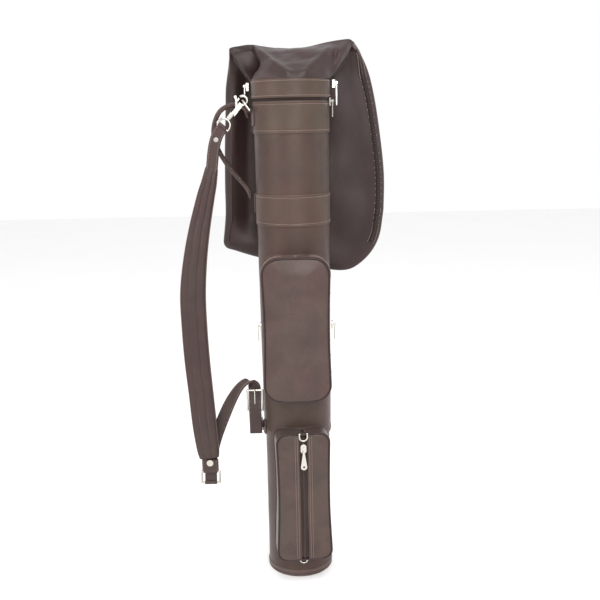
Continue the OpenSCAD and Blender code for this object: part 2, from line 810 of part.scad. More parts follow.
module mid_pocket_piping() {
    color("#33221f") rotate([0, 0, mid_turn])
        pocket_ring(mid_w, mid_w, mid_z0, mid_z1, mid_corner, -0.9, 2.1, mid_y - pipe_t, mid_y);
}

module mid_pocket_front() {
    color("#5e4a45") rotate([0, 0, mid_turn]) forward(mid_y - panel_t - 0.2, mid_y - 0.2)
        polygon(pocket_pts(mid_w, mid_w, mid_z0, mid_z1, mid_corner, 2.1 + gap));
}

// Zip that runs up both side walls and over the top of the middle pocket
module mid_pocket_zip() {
    color("#2a1d1b") rotate([0, 0, mid_turn]) intersection() {
        pocket_ring(
            mid_w, mid_w, mid_z0, mid_z1, mid_corner, -tape_t - gap, -gap, mid_zip_y - 5, mid_zip_y + 5
        );
        translate([-100, -100, mid_z0 + mid_corner + 18]) cube([200, 100, 300]);
    }
}

module at_mid(side) {
    rotate([0, 0, mid_turn]) translate([side * mid_pivot_x, -mid_zip_y, mid_slider_z])
        rotate([0, 0, side * 90]) children();
}

module mid_slider_left() {
    color("#c9c6c0") at_mid(-1) slider_body();
}

module mid_slider_right() {
    color("#c9c6c0") at_mid(1) slider_body();
}

module mid_pull_left() {
    color("#c9c6c0") at_mid(-1) pull_tab(27, 5, 1);
}

module mid_pull_right() {
    color("#c9c6c0") at_mid(1) pull_tab(27, 5, 1);
}

module low_pocket_wall() {
    color("#4f3c38") rotate([0, 0, low_turn]) difference() {
        pocket_ring(low_w0, low_w1, low_z0, low_z1, low_corner, 0, gusset_t, 18, low_y - pipe_t - gap);
        tube_space(lower_r + tube_cut);
        upper_space();
    }
}

module low_pocket_piping() {
    color("#33221f") rotate([0, 0, low_turn])
        pocket_ring(low_w0, low_w1, low_z0, low_z1, low_corner, -0.9, 2.1, low_y - pipe_t, low_y);
}

module low_panel(side) {
    rotate([0, 0, low_turn]) difference() {
        forward(low_y - panel_t - 0.2, low_y - 0.2)
            polygon(pocket_pts(low_w0, low_w1, low_z0, low_z1, low_corner, 2.1 + gap));
        translate([side > 0 ? -100 : -tape_w / 2 - gap, -100, 0]) cube([100 + tape_w / 2 + gap, 50, 400]);
    }
}

module low_panel_left() {
    color("#5e4a45") low_panel(-1);
}

module low_panel_right() {
    color("#5e4a45") low_panel(1);
}

module low_pocket_zip() {
    z0 = low_z0 + 4;
    z1 = low_z1 - 4;
    color("#2a1d1b") rotate([0, 0, low_turn]) {
        forward(low_y - panel_t - 0.2, low_y - panel_t + tape_t - 0.2)
            translate([-tape_w / 2, z0]) square([tape_w, z1 - z0]);
        forward(low_y - panel_t + tape_t - 0.3, low_y + 0.2)
            translate([-teeth_w / 2, z0 + 3]) square([teeth_w, z1 - z0 - 6]);
    }
}

module low_slider() {
    color("#cfccc6") rotate([0, 0, low_turn]) translate([0, -low_pivot_y, low_slider_z])
        slider_body(plate_w = 10, up = 8, down = 8);
}

module low_pull() {
    color("#cfccc6") rotate([0, 0, low_turn]) translate([0, -low_pivot_y, low_slider_z]) pull_tab(38, 11, 1.8);
}

module low_dring_top() {
    color("#cfccc6") rotate([0, 0, low_turn]) translate([0, -low_ring_y, low_ring_z])
        d_ring(pocket_ring_w, pocket_ring_d, pocket_wire);
}

module low_dring_bottom() {
    color("#cfccc6") rotate([0, 0, low_turn]) translate([0, -base_ring_y, base_ring_z])
        d_ring(pocket_ring_w, pocket_ring_d, pocket_wire);
}

// Leather loops that hold the two small rings of the lower pocket
module low_dring_tabs() {
    loop_w = 9;
    out_r = 3.2;
    color("#33221f") rotate([0, 0, low_turn]) {
        difference() {
            union() {
                translate([0, -low_ring_y, low_ring_z]) rotate([0, 90, 0])
                    cylinder(r = out_r, h = loop_w, center = true);
                translate([-loop_w / 2, -low_ring_y, low_z1 + 1.2]) cube([loop_w, 22, 2]);
            }
            translate([0, -low_ring_y, low_ring_z]) rotate([0, 90, 0])
                cylinder(r = pocket_wire + pull_fit, h = 2 * loop_w, center = true);
        }
        difference() {
            union() {
                translate([0, -base_ring_y, base_ring_z]) rotate([0, 90, 0])
                    cylinder(r = out_r, h = loop_w, center = true);
                patch(lower_r + gap, 2, base_ring_z - 6, low_z0 - 0.4, 270, loop_w);
            }
            translate([0, -base_ring_y, base_ring_z]) rotate([0, 90, 0])
                cylinder(r = pocket_wire + pull_fit, h = 2 * loop_w, center = true);
        }
    }
}

base_cap();
base_welt();
base_board();
tube_liner();
lower_shell();
upper_shell();
band_lower();
band_upper();
rim_zip_lower();
rim_zip_upper();
rim_hinge();
collar_ring();
hood_neck();
hood_crest();
hood_inner_panel();
hood_outer_panel();
hood_gusset();
hood_zip_right();
hood_zip_left();
hood_slider_right();
hood_slider_left();
hood_pull_right();
hood_pull_left();
rim_slider();
rim_pull();
handle_grip();
handle_tabs();
strap_dring_upper();
strap_anchor_tabs();
hook_body();
hook_gate();
swivel_eye();
strap_top();
strap_pad();
strap_rivets();
strap_end_tab();
strap_ring();
strap_narrow();
buckle_frame();
buckle_prong();
strap_stub();
strap_ring_lower();
mid_pocket_wall();
mid_pocket_front();
mid_pocket_piping();
mid_pocket_zip();
mid_slider_left();
mid_slider_right();
mid_pull_left();
mid_pull_right();
low_pocket_wall();
low_panel_left();
low_panel_right();
low_pocket_piping();
low_pocket_zip();
low_slider();
low_pull();
low_dring_top();
low_dring_bottom();
low_dring_tabs();
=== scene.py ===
import json
import math

import bmesh
import bpy
import numpy as np
from mathutils import Matrix, Vector, noise


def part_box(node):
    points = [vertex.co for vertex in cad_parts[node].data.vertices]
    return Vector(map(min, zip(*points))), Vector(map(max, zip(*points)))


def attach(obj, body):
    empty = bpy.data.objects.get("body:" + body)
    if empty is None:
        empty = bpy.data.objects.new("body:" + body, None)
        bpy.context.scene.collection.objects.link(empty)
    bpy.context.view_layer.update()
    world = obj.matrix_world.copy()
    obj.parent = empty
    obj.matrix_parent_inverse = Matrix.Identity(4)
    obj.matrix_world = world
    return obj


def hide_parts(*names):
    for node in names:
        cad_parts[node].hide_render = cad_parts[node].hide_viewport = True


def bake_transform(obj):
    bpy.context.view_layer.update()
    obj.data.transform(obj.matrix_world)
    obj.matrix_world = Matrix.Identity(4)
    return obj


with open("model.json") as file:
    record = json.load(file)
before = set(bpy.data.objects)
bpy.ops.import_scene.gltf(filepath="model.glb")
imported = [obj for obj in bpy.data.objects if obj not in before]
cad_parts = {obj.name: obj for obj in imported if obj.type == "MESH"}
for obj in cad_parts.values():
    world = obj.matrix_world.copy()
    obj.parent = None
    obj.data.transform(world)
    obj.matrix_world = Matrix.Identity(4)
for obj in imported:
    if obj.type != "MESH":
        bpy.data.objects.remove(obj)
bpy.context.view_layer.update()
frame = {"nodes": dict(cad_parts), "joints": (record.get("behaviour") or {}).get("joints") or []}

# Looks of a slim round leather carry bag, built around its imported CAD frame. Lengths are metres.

MM = 0.001


# ---------------------------------------------------------------- frame facts

def node_points(node):
    """A CAD node's vertices at rest."""
    return np.array([v.co for v in frame["nodes"][node].data.vertices], float)


def split_at(node, z):
    """A node's vertices above a height, and those below it."""
    points = node_points(node)
    return points[points[:, 2] > z], points[points[:, 2] < z]


def off_axis(points):
    """Distance of each point from the tube axis."""
    return np.hypot(points[:, 0], points[:, 1])


def radius_near(node, z, reach=2 * MM):
    """Largest distance from the tube axis among a node's vertices near a height."""
    points = node_points(node)
    return float(off_axis(points[np.abs(points[:, 2] - z) < reach]).max())


def joint(name):
    """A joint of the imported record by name."""
    return next(j for j in frame["joints"] if j["name"] == name)


def turned_box(node, turn):
    """Lowest and highest corner of a node after turning it back by an angle about the tube axis."""
    points = node_points(node) @ np.array(Matrix.Rotation(turn, 3, "Z"))
    return points.min(0), points.max(0)


def pivot(name):
    """A joint's position."""
    return Vector(joint(name)["pos_m"])


BASE_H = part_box("base_cap")[1].z
BASE_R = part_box("base_cap")[1].x
LOWER_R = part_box("lower_shell")[1].x
LOWER_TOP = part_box("lower_shell")[1].z
YOKE_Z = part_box("upper_shell")[0].z
RIM_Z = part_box("upper_shell")[1].z
UPPER_R0 = radius_near("upper_shell", YOKE_Z)
UPPER_R1 = radius_near("upper_shell", RIM_Z)
COLLAR_Z0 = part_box("collar_ring")[0].z
COLLAR_Z1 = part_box("collar_ring")[1].z
COLLAR_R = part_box("collar_ring")[1].x
FOLD = pivot("hood_raise")
STRAP_Y = pivot("strap_swing").y
SKIN_T = 2.2 * MM
THREAD_R = 0.5 * MM
STITCH_PITCH = 4.2 * MM
TURN_STEPS = 144
MID_TURN = math.atan2(joint("mid_pull_right_swing")["axis"][0], -joint("mid_pull_right_swing")["axis"][1])
LOW_TURN = math.atan2(-joint("low_pull_swing")["axis"][1], -joint("low_pull_swing")["axis"][0])


def tube_radius(z):
    """Outer radius of the leather tube at a height."""
    if z < YOKE_Z:
        return LOWER_R
    return UPPER_R0 + (UPPER_R1 - UPPER_R0) * (z - YOKE_Z) / (RIM_Z - YOKE_Z)


# ---------------------------------------------------------------- materials

class Paint:
    """A node material around one Principled shader, with short calls to add and join nodes."""

    def __init__(self, name):
        self.material = bpy.data.materials.new(name)
        self.material.use_nodes = True
        self.tree = self.material.node_tree
        self.shader = self.tree.nodes["Principled BSDF"]
        self.coords = self.tree.nodes.new("ShaderNodeTexCoord").outputs["Object"]

    def node(self, kind, inputs=None, **settings):
        """A new node with its settings, and its inputs set or linked."""
        made = self.tree.nodes.new("ShaderNode" + kind)
        for key, value in settings.items():
            setattr(made, key, value)
        for key, value in (inputs or {}).items():
            self.join(value, made.inputs[key])
        return made

    def join(self, value, socket):
        """Links an output to a socket, or sets the socket's own value."""
        if isinstance(value, bpy.types.NodeSocket):
            self.tree.links.new(value, socket)
        else:
            socket.default_value = value

    def set(self, **inputs):
        """Sets or links the shader's sockets, with _ for a space in their names."""
        for key, value in inputs.items():
            self.join(value, self.shader.inputs[key.replace("_", " ")])

    def noise(self, scale, detail=3, rough=0.5, stretch=None, distort=0.0):
        """Factor output of a noise texture in object space."""
        at = self.coords
        if stretch:
            at = self.node("Mapping", {"Vector": at, "Scale": stretch}).outputs["Vector"]
        made = self.node("TexNoise", {
            "Vector": at, "Scale": scale, "Detail": detail, "Roughness": rough, "Distortion": distort,
        })
        return made.outputs["Fac"]

    def span(self, factor, low, high, out_low, out_high):
        """A factor mapped from one span to another, clamped."""
        made = self.node("MapRange", {
            "Value": factor, "From Min": low, "From Max": high, "To Min": out_low, "To Max": out_high,
        })
        return made.outputs["Result"]

    def mix(self, factor, one, two):
        """Colour mix of two colours or outputs."""
        return self.node("MixRGB", {"Fac": factor, "Color1": one, "Color2": two}).outputs["Color"]

    def math(self, operation, one, two):
        """Result of a math node."""
        made = self.node("Math", operation=operation)
        self.join(one, made.inputs[0])
        self.join(two, made.inputs[1])
        return made.outputs["Value"]

    def bump(self, height, strength, distance, normal=None):
        """Normal output of a bump node on a height."""
        inputs = {"Height": height, "Strength": strength, "Distance": distance}
        if normal:
            inputs["Normal"] = normal
        return self.node("Bump", inputs).outputs["Normal"]


def rgb(red, green, blue):
    return (red, green, blue, 1.0)


def shade(colour, strength):
    """A colour made darker or paler."""
    return rgb(*(Vector(colour) * strength))


def leather(name, colour, rough=0.40, mottle=0.3):
    """Smooth full-grain leather: fine pebble, pores, soft creases, colour that drifts and edges paler where
    the mesh is sharpest.
    """
    paint = Paint(name)
    base = Vector(colour)
    dark = shade(colour, 1 - mottle)
    olive = rgb(base.x * 0.97, base.y * 1.06, base.z * 0.96)
    red = rgb(base.x * 1.13, base.y * 0.96, base.z * 0.98)
    pale = shade(colour, 1.55)
    drift = paint.span(paint.noise(9, detail=4, rough=0.55), 0.36, 0.64, 0, 1)
    hue = paint.mix(drift, olive, red)
    patch = paint.span(paint.noise(21, detail=5, rough=0.6, distort=0.4), 0.38, 0.72, 0.0, 0.75)
    toned = paint.mix(patch, hue, dark)
    speck = paint.span(paint.noise(420, detail=2), 0.45, 0.75, 0, 0.25)
    speckled = paint.mix(speck, toned, dark)
    # Edges are made paler where the mesh is sharply convex, broken up by noise.
    edge = paint.node("NewGeometry").outputs["Pointiness"]
    pale_edge_mix = paint.math("MULTIPLY", paint.span(edge, 0.515, 0.60, 0, 0.55), paint.noise(60, detail=4))
    final = paint.mix(pale_edge_mix, speckled, pale)
    cells = paint.node("TexVoronoi", {"Vector": paint.coords, "Scale": 760.0, "Randomness": 1.0},
                       feature="SMOOTH_F1").outputs["Distance"]
    pores = paint.noise(2100, detail=2)
    creases = paint.span(paint.noise(34, detail=6, rough=0.62, stretch=(1, 1, 0.45), distort=0.9),
                         0.49, 0.56, 0, 1)
    normal = paint.bump(creases, 0.10, 0.5 * MM)
    normal = paint.bump(cells, 0.20, 0.25 * MM, normal)
    normal = paint.bump(pores, 0.10, 0.12 * MM, normal)
    gloss = paint.span(paint.noise(26, detail=4), 0.3, 0.7, rough - 0.06, rough + 0.08)
    paint.set(Base_Color=final, Roughness=gloss, Normal=normal, Sheen_Weight=0.03, Sheen_Roughness=0.45,
              Coat_Weight=0.04, Coat_Roughness=0.35, Specular_IOR_Level=0.24)
    return paint.material


def thread(name, colour):
    """Twisted waxed thread."""
    paint = Paint(name)
    twist = paint.node("TexWave", {"Vector": paint.coords, "Scale": 900.0, "Distortion": 1.5},
                       bands_direction="DIAGONAL").outputs["Fac"]
    tone = paint.mix(paint.noise(160), shade(colour, 0.72), shade(colour, 1.25))
    paint.set(Base_Color=tone, Roughness=0.62, Normal=paint.bump(twist, 0.35, 0.15 * MM), Sheen_Weight=0.25)
    return paint.material


def nickel(name, rough=0.17):
    """Polished nickel plate with fine brushing and a little haze."""
    paint = Paint(name)
    haze = paint.noise(55, detail=5, rough=0.6)
    tone = paint.mix(haze, rgb(0.62, 0.59, 0.53), rgb(0.40, 0.38, 0.34))
    lines = paint.noise(1500, detail=2, stretch=(1, 1, 0.12))
    gloss = paint.span(haze, 0.3, 0.7, rough - 0.05, rough + 0.14)
    paint.set(Base_Color=tone, Roughness=gloss, Metallic=1.0, Normal=paint.bump(lines, 0.06, 0.1 * MM))
    return paint.material


def woven(name, colour):
    """Woven zip tape."""
    paint = Paint(name)
    warp, weft = (paint.node("TexWave", {"Vector": paint.coords, "Scale": scale, "Distortion": 0.6},
                             bands_direction=way).outputs["Fac"]
                  for scale, way in ((900.0, "Z"), (720.0, "X")))
    weave = paint.math("MULTIPLY", warp, weft)
    tone = paint.mix(weave, shade(colour, 0.6), shade(colour, 1.5))
    paint.set(Base_Color=tone, Roughness=0.85, Normal=paint.bump(weave, 0.5, 0.25 * MM), Sheen_Weight=0.06,
              Specular_IOR_Level=0.15)
    return paint.material


def moulded(name, colour, rough=0.5):
    """Extruded or moulded plastic with faint drawing lines."""
    paint = Paint(name)
    lines = paint.noise(300, detail=3, stretch=(1, 1, 0.03))
    tone = paint.mix(paint.noise(18, detail=4), shade(colour, 0.8), shade(colour, 1.3))
    paint.set(Base_Color=tone, Roughness=paint.span(lines, 0.3, 0.7, rough - 0.08, rough + 0.1),
              Normal=paint.bump(lines, 0.15, 0.2 * MM))
    return paint.material


def pressed_board(name):
    """Pressed fibre board with flecks."""
    paint = Paint(name)
    fleck = paint.noise(180, detail=5, rough=0.7, stretch=(1, 1, 4))
    tone = paint.mix(paint.span(fleck, 0.4, 0.6, 0, 1), rgb(0.20, 0.13, 0.08), rgb(0.36, 0.26, 0.17))
    paint.set(Base_Color=tone, Roughness=0.9, Normal=paint.bump(fleck, 0.4, 0.3 * MM))
    return paint.material


BROWN = (0.052, 0.031, 0.025)
MATERIALS = {
    "shell_leather": leather("shell_leather", BROWN),
    "band_leather": leather("band_leather", (0.060, 0.038, 0.029), rough=0.44),
    "base_leather": leather("base_leather", (0.074, 0.052, 0.046), rough=0.40),
    # Hood leather is set far darker than the body leather: painted shade for the dark hollow of the hanging
    # hood, applied to the whole hood.
    "hood_leather": leather("hood_leather", (0.030, 0.0165, 0.0155), rough=0.40, mottle=0.35),
    "strap_leather": leather("strap_leather", (0.042, 0.026, 0.024), rough=0.42),
    "pocket_leather": leather("pocket_leather", (0.062, 0.040, 0.035), rough=0.33, mottle=0.42),
    # Very dark piping: partly the leather's own edge colour, partly painted shade of the crease along the
    # pocket edges.
    "piping_leather": leather("piping_leather", (0.024, 0.013, 0.012), rough=0.42),
    # Zip tape darker than its own brown: partly the tape's colour, partly painted shade of the groove between
    # the leather lips.
    "zip_tape": woven("zip_tape", (0.020, 0.012, 0.011)),
    "pocket_tape": woven("pocket_tape", (0.052, 0.034, 0.029)),
    "coil": moulded("coil", (0.026, 0.016, 0.014), rough=0.55),
    "pocket_coil": moulded("pocket_coil", (0.040, 0.025, 0.021), rough=0.40),
    "thread": thread("thread", (0.185, 0.110, 0.090)),
    "bright_nickel": nickel("bright_nickel"),
    "ring_nickel": nickel("ring_nickel", rough=0.14),
    "hook_nickel": nickel("hook_nickel", rough=0.24),
    "liner_plastic": moulded("liner_plastic", (0.022, 0.021, 0.020)),
    "fibreboard": pressed_board("fibreboard"),
}


# ---------------------------------------------------------------- mesh tools

def curve_through(points, steps):
    """Smooth curve through a few points, with a number of steps between each pair."""
    p = np.array(points, float)
    p = np.vstack([2 * p[0] - p[1], p, 2 * p[-1] - p[-2]])
    t = np.linspace(0, 1, steps, endpoint=False)[:, None]
    rows = []
    for a, b, c, d in zip(p[:-3], p[1:-2], p[2:-1], p[3:]):
        rows.append(0.5 * (2 * b + (c - a) * t + (2 * a - 5 * b + 4 * c - d) * t ** 2
                           + (3 * b - a - 3 * c + d) * t ** 3))
    return np.vstack(rows + [p[-2:-1]])


def resample(points, count, closed=False):
    """The same path with evenly spaced points."""
    p = np.array(points, float)
    if closed:
        p = np.vstack([p, p[:1]])
    along = np.concatenate([[0], np.cumsum(np.linalg.norm(np.diff(p, axis=0), axis=1))])
    wanted = np.linspace(0, along[-1], count + 1)[:-1] if closed else np.linspace(0, along[-1], count)
    return np.stack([np.interp(wanted, along, p[:, k]) for k in range(p.shape[1])], axis=1)


def length_of(points):
    return float(np.linalg.norm(np.diff(np.array(points, float), axis=0), axis=1).sum())


def tangents(points, closed=False):
    """Unit direction along a path at each point."""
    p = np.array(points, float)
    if closed:
        t = np.roll(p, -1, axis=0) - np.roll(p, 1, axis=0)
    else:
        t = np.gradient(p, axis=0)
    return t / np.linalg.norm(t, axis=1)[:, None]


def unit(v):
    v = np.array(v, float)
    return v / np.maximum(np.linalg.norm(v, axis=-1, keepdims=True), 1e-12)


def smooth_noise(points, scale, seed=0.0):
    """Noise from -1 to 1 at each point."""
    return np.array([noise.noise(Vector(p) * scale + Vector((seed, seed * 1.7, seed * 0.3))) for p in points])


def smoothstep(x, low, high):
    t = np.clip((np.array(x, float) - low) / (high - low), 0, 1)
    return t * t * (3 - 2 * t)


class Shape:
    """Grids of points collected into one mesh."""

    def __init__(self):
        self.points = []
        self.faces = []

    def grid(self, rows, wrap_rows=False, wrap_columns=False):
        """Quads between neighbouring points of rows of points, joined round where asked."""
        rows = np.array(rows, float)
        m, n = rows.shape[:2]
        start = len(self.points)
        self.points.extend(rows.reshape(-1, 3))
        for i in range(m if wrap_rows else m - 1):
            for j in range(n if wrap_columns else n - 1):
                a, b = i * n + j, i * n + (j + 1) % n
                c, d = ((i + 1) % m) * n + (j + 1) % n, ((i + 1) % m) * n + j
                self.faces.append([start + k for k in (a, b, c, d)])
        return self

    def cap(self, ring):
        """A fan from a ring's middle."""
        ring = np.array(ring, float)
        start = len(self.points)
        self.points.extend(ring)
        self.points.append(ring.mean(0))
        n = len(ring)
        for k in range(n):
            self.faces.append([start + k, start + (k + 1) % n, start + n])
        return self

    def put(self, name, material, *nodes, slot=None, body="bag", sharp=None):
        """Builds and places the piece, for some CAD nodes. The slot is handed to place, which does not use
        it.
        """
        place(self.build(name, material, sharp=sharp), body, slot or material, *nodes)

    def build(self, name, material, weld=0.02 * MM, sharp=None):
        """The mesh object, welded, with its normals pointing out."""
        mesh = bpy.data.meshes.new(name)
        mesh.from_pydata([tuple(p) for p in self.points], [], self.faces)
        work = bmesh.new()
        work.from_mesh(mesh)
        bmesh.ops.remove_doubles(work, verts=work.verts, dist=weld)
        bmesh.ops.recalc_face_normals(work, faces=work.faces)
        work.to_mesh(mesh)
        work.free()
        mesh.shade_smooth()
        if sharp:
            mesh.set_sharp_from_angle(angle=math.radians(sharp))
        made = bpy.data.objects.new(name, mesh)
        bpy.context.scene.collection.objects.link(made)
        mesh.materials.append(MATERIALS[material])
        return made


def settle(piece, thick=0.0, sharp=50):
    """Gives a sheet its thickness and subdivision, and keeps the result as the piece's own mesh."""
    if thick:
        solid = piece.modifiers.new("thickness", "SOLIDIFY")
        solid.thickness = thick
        solid.offset = -1
        solid.use_quality_normals = True
    smooth = piece.modifiers.new("smooth", "SUBSURF")
    smooth.levels = smooth.render_levels = 1
    smooth.boundary_smooth = "PRESERVE_CORNERS"
    graph = bpy.context.evaluated_depsgraph_get()
    mesh = bpy.data.meshes.new_from_object(piece.evaluated_get(graph))
    piece.modifiers.clear()
    piece.data = mesh
    mesh.shade_smooth()
    if sharp:
        mesh.set_sharp_from_angle(angle=math.radians(sharp))
    return piece


def place(piece, body, slot, *nodes):
    """Rides a piece on a body and hides the CAD nodes it stands for. The slot is not used."""
    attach(piece, body)
    if nodes:
        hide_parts(*nodes)


def lathe(profile, wobble=0.0, start=0.0, turn=360.0):
    """A closed profile of [radius, height] points turned about the tube axis."""
    shape = Shape()
    whole = turn == 360
    count = int(TURN_STEPS * turn / 360)
    angles = np.radians(start + np.linspace(0, turn, count, endpoint=not whole))
    rows = []
    for r, z in profile:
        shift = np.zeros(len(angles))
        if wobble:
            around = [(math.cos(a) * 0.06, math.sin(a) * 0.06, z) for a in angles]
            shift = wobble * smooth_noise(around, 22)
        rows.append(np.stack([(r + shift) * np.cos(angles), (r + shift) * np.sin(angles),
                              np.full(len(angles), z)], axis=1))
    shape.grid(rows, wrap_rows=True, wrap_columns=whole)
    if not whole:
        shape.cap([row[0] for row in rows])
        shape.cap([row[-1] for row in rows])
    return shape


def rounded_profile(r0, r1, z0, z1, bevel, steps=3, rows=2):
    """Closed [radius, height] profile of a band: outer face r1 at z0 to r1 at z1, both edges rounded.

    r0 and r1 are (inner, outer) radii at the bottom and at the top."""
    points = []
    for k in range(rows + 1):
        t = k / rows
        z = z0 + bevel + (z1 - z0 - 2 * bevel) * t
        points.append((r0[1] + (r1[1] - r0[1]) * t, z))
    for k in range(1, steps + 1):
        a = math.pi / 2 * k / steps
        points.append((r1[1] - bevel * (1 - math.cos(a)), z1 - bevel + bevel * math.sin(a)))
    points.append((r1[0], z1))
    points.append((r0[0], z0))
    for k in range(steps, 0, -1):
        a = math.pi / 2 * k / steps
        points.append((r0[1] - bevel * (1 - math.cos(a)), z0 + bevel - bevel * math.sin(a)))
    return points


def sweep(shape, path, across, section, closed=False, scale=None):
    """Sweeps a section of [width, height] points along a path, its width along the across vectors."""
    path = np.array(path, float)
    along = tangents(path, closed)
    across = np.broadcast_to(np.array(across, float), path.shape)
    wide = unit(across - (across * along).sum(1)[:, None] * along)
    high = np.cross(along, wide)
    section = np.array(section, float)
    rows = []
    for i in range(len(path)):
        s = section if scale is None else section * scale[i]
        rows.append(path[i] + s[:, :1] * wide[i] + s[:, 1:] * high[i])
    shape.grid(rows, wrap_rows=closed, wrap_columns=True)
    if not closed:
        shape.cap(rows[0])
        shape.cap(rows[-1])
    return shape


def round_section(radius, sides=12):
    a = np.linspace(0, 2 * math.pi, sides, endpoint=False)
    return np.stack([radius * np.cos(a), radius * np.sin(a)], axis=1)


def strap_section(width, thick, bevel=None, columns=8):
    """Flat section with rounded edges, as [width, height] points."""
    bevel = bevel or thick / 2
    half = width / 2 - bevel
    a = np.linspace(-math.pi / 2, math.pi / 2, 7)
    right = np.stack([half + bevel * np.cos(a), thick / 2 * np.sin(a)], axis=1)
    top = np.stack([np.linspace(half, -half, columns + 1)[1:-1], np.full(columns - 1, thick / 2)], axis=1)
    bottom = np.stack([-top[:, 0], -top[:, 1]], axis=1)
    return np.vstack([right, top, -right, bottom])


def beads(shape, centres, along, out, length, radius, sink=0.6, sides=6):
    """Short threads or zip coils: rounded bars whose two ends dip into the surface."""
    steps = np.array([-0.5, -0.36, 0, 0.36, 0.5])
    girth = np.array([0.35, 0.9, 1.0, 0.9, 0.35])
    rise = np.array([-sink, 0.25, 0.45, 0.25, -sink]) * radius
    angles = np.linspace(0, 2 * math.pi, sides, endpoint=False)
    for c, t, n in zip(np.array(centres), unit(along), unit(out)):
        side = unit(np.cross(t, n))
        rows = []
        for s, g, h in zip(steps, girth, rise):
            middle = c + t * length * s + n * h
            rows.append([middle + g * radius * (math.cos(a) * side + math.sin(a) * n) for a in angles])
        shape.grid(rows, wrap_columns=True)
        shape.cap(rows[0])
        shape.cap(rows[-1])


def stitch_line(shape, path, out, pitch=STITCH_PITCH, closed=False, radius=THREAD_R, fill=0.74):
    """A row of stitches along a path, with the surface's outward direction at each of its points."""
    path = np.array(path, float)
    out = np.broadcast_to(np.array(out, float), path.shape)
    loop = np.vstack([path, path[:1]]) if closed else path
    count = max(2, int(length_of(loop) / pitch))
    both = resample(np.hstack([path, out]), count, closed)
    beads(shape, both[:, :3], tangents(both[:, :3], closed), both[:, 3:], pitch * fill, radius)


def ring_path(radius, z, start=0.0, turn=360.0, count=160):
    """Path round the tube, and its outward directions."""
    a = np.radians(start + np.linspace(0, turn, count, endpoint=turn != 360))
    out = np.stack([np.cos(a), np.sin(a), np.zeros(len(a))], axis=1)
    return out * radius + np.array([0, 0, z]), out


def stitch_rings(rows, *rings):
    """Closed rows of stitches round the tube at [radius, height] pairs."""
    for radius, z in rings:
        path, out = ring_path(radius, z)
        stitch_line(rows, path, out, closed=True)
    return rows


def zip_teeth(path, across, out, pitch, lift, length, radius):
    """Coil teeth along a path, each lying across it and lifted off it."""
    path = np.array(path, float)
    across, out = (np.broadcast_to(np.array(v, float), path.shape) for v in (across, out))
    even = resample(np.hstack([path, across, out]), int(length_of(path) / pitch))
    teeth = Shape()
    beads(teeth, even[:, :3] + even[:, 6:] * lift, even[:, 3:6], even[:, 6:], length, radius, sides=5)
    return teeth


def turn_about_axis(points, angle):
    """Points turned about the tube axis."""
    return np.array(points, float) @ np.array(Matrix.Rotation(angle, 3, "Z")).T


# ---------------------------------------------------------------- tube and base

def make_base():
    """Leather base cap with its rolled welt and one row of stitches."""
    welt_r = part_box("base_welt")[1].z / 2
    edge = BASE_R - 0.7 * MM
    roll = [(edge - 1.6 * MM + welt_r * math.cos(a), welt_r + welt_r * math.sin(a))
            for a in np.linspace(-math.pi / 2, math.pi * 0.36, 9)]
    side = [(edge + 0.1 * MM, 4.8 * MM), (edge + 0.5 * MM, 6.4 * MM), (edge + 0.4 * MM, BASE_H - 2.2 * MM),
            (edge - 0.1 * MM, BASE_H - 0.6 * MM), (LOWER_R + 0.2 * MM, BASE_H)]
    inside = [(LOWER_R - 0.4 * MM, BASE_H - 0.4 * MM), (LOWER_R - 0.6 * MM, 4 * MM), (8 * MM, 3 * MM),
              (1 * MM, 3 * MM), (1 * MM, 0.3 * MM), (30 * MM, 0.2 * MM)]
    lathe(roll + side + inside, wobble=0.15 * MM).put(
        "base_leather", "base_leather", "base_cap", "base_welt", sharp=60)
    rows = stitch_rings(Shape(), (edge + 0.45 * MM, BASE_H - 3.4 * MM))
    rows.put("base_stitches", "thread", slot="base_leather")


def make_shells():
    """Lower and upper leather tubes over the liner, each with a lapped seam at the back."""
    inner = LOWER_R - SKIN_T
    heights = np.linspace(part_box("lower_shell")[0].z, LOWER_TOP, 26)
    profile = [(LOWER_R - 0.1 * MM, z) for z in heights] + [(inner, z) for z in heights[::-1]]
    lathe(profile, wobble=0.3 * MM).put("lower_leather", "shell_leather", "lower_shell", sharp=50)
    heights = np.linspace(YOKE_Z + 1.2 * MM, RIM_Z, 50)
    outer = [(tube_radius(z) - 0.1 * MM, z) for z in heights]
    lip = [(UPPER_R0 - 0.25 * MM, YOKE_Z + 0.5 * MM), (UPPER_R0 - 0.8 * MM, YOKE_Z)]
    profile = lip[::-1] + outer + [(r - 2.1 * MM, z) for r, z in outer[::-1]] + [(UPPER_R0 - 2 * MM, YOKE_Z)]
    lathe(profile, wobble=0.3 * MM).put("upper_leather", "shell_leather", "upper_shell", sharp=50)
    rows = stitch_rings(Shape(), *[(tube_radius(z), z) for z in (YOKE_Z + 4.0 * MM, YOKE_Z + 8.0 * MM)])
    back_seam(rows)
    rows.put("shell_stitches", "thread", slot="shell_leather")


def back_seam(rows):
    """Overlapped seam up the back of the tube, with stitches on both sides of its edge."""
    width = 13 * MM
    spans = [(BASE_H + 1 * MM, YOKE_Z - 1 * MM), (YOKE_Z + 12 * MM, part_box("band_lower")[0].z),
             (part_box("band_lower")[1].z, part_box("band_upper")[0].z)]
    strip = Shape()
    for z0, z1 in spans:
        heights = np.linspace(z0, z1, 24)
        path = [(0, tube_radius(z) + 0.25 * MM, z) for z in heights]
        sweep(strip, path, (1, 0, 0), strap_section(width, 1.2 * MM))
        for side in (-1, 1):
            line = [(side * 3.6 * MM, tube_radius(z) + 0.9 * MM, z) for z in heights]
            stitch_line(rows, line, (0, 1, 0))
    strip.put("back_seam", "shell_leather")


# Heights in from a band's edge and how far it stands off the tube there, in millimetres.
BAND_EDGE = ((0.0, 0.7), (0.5, 1.25), (1.6, 1.6), (3.6, 1.5), (5.2, 0.95), (6.8, 1.4))


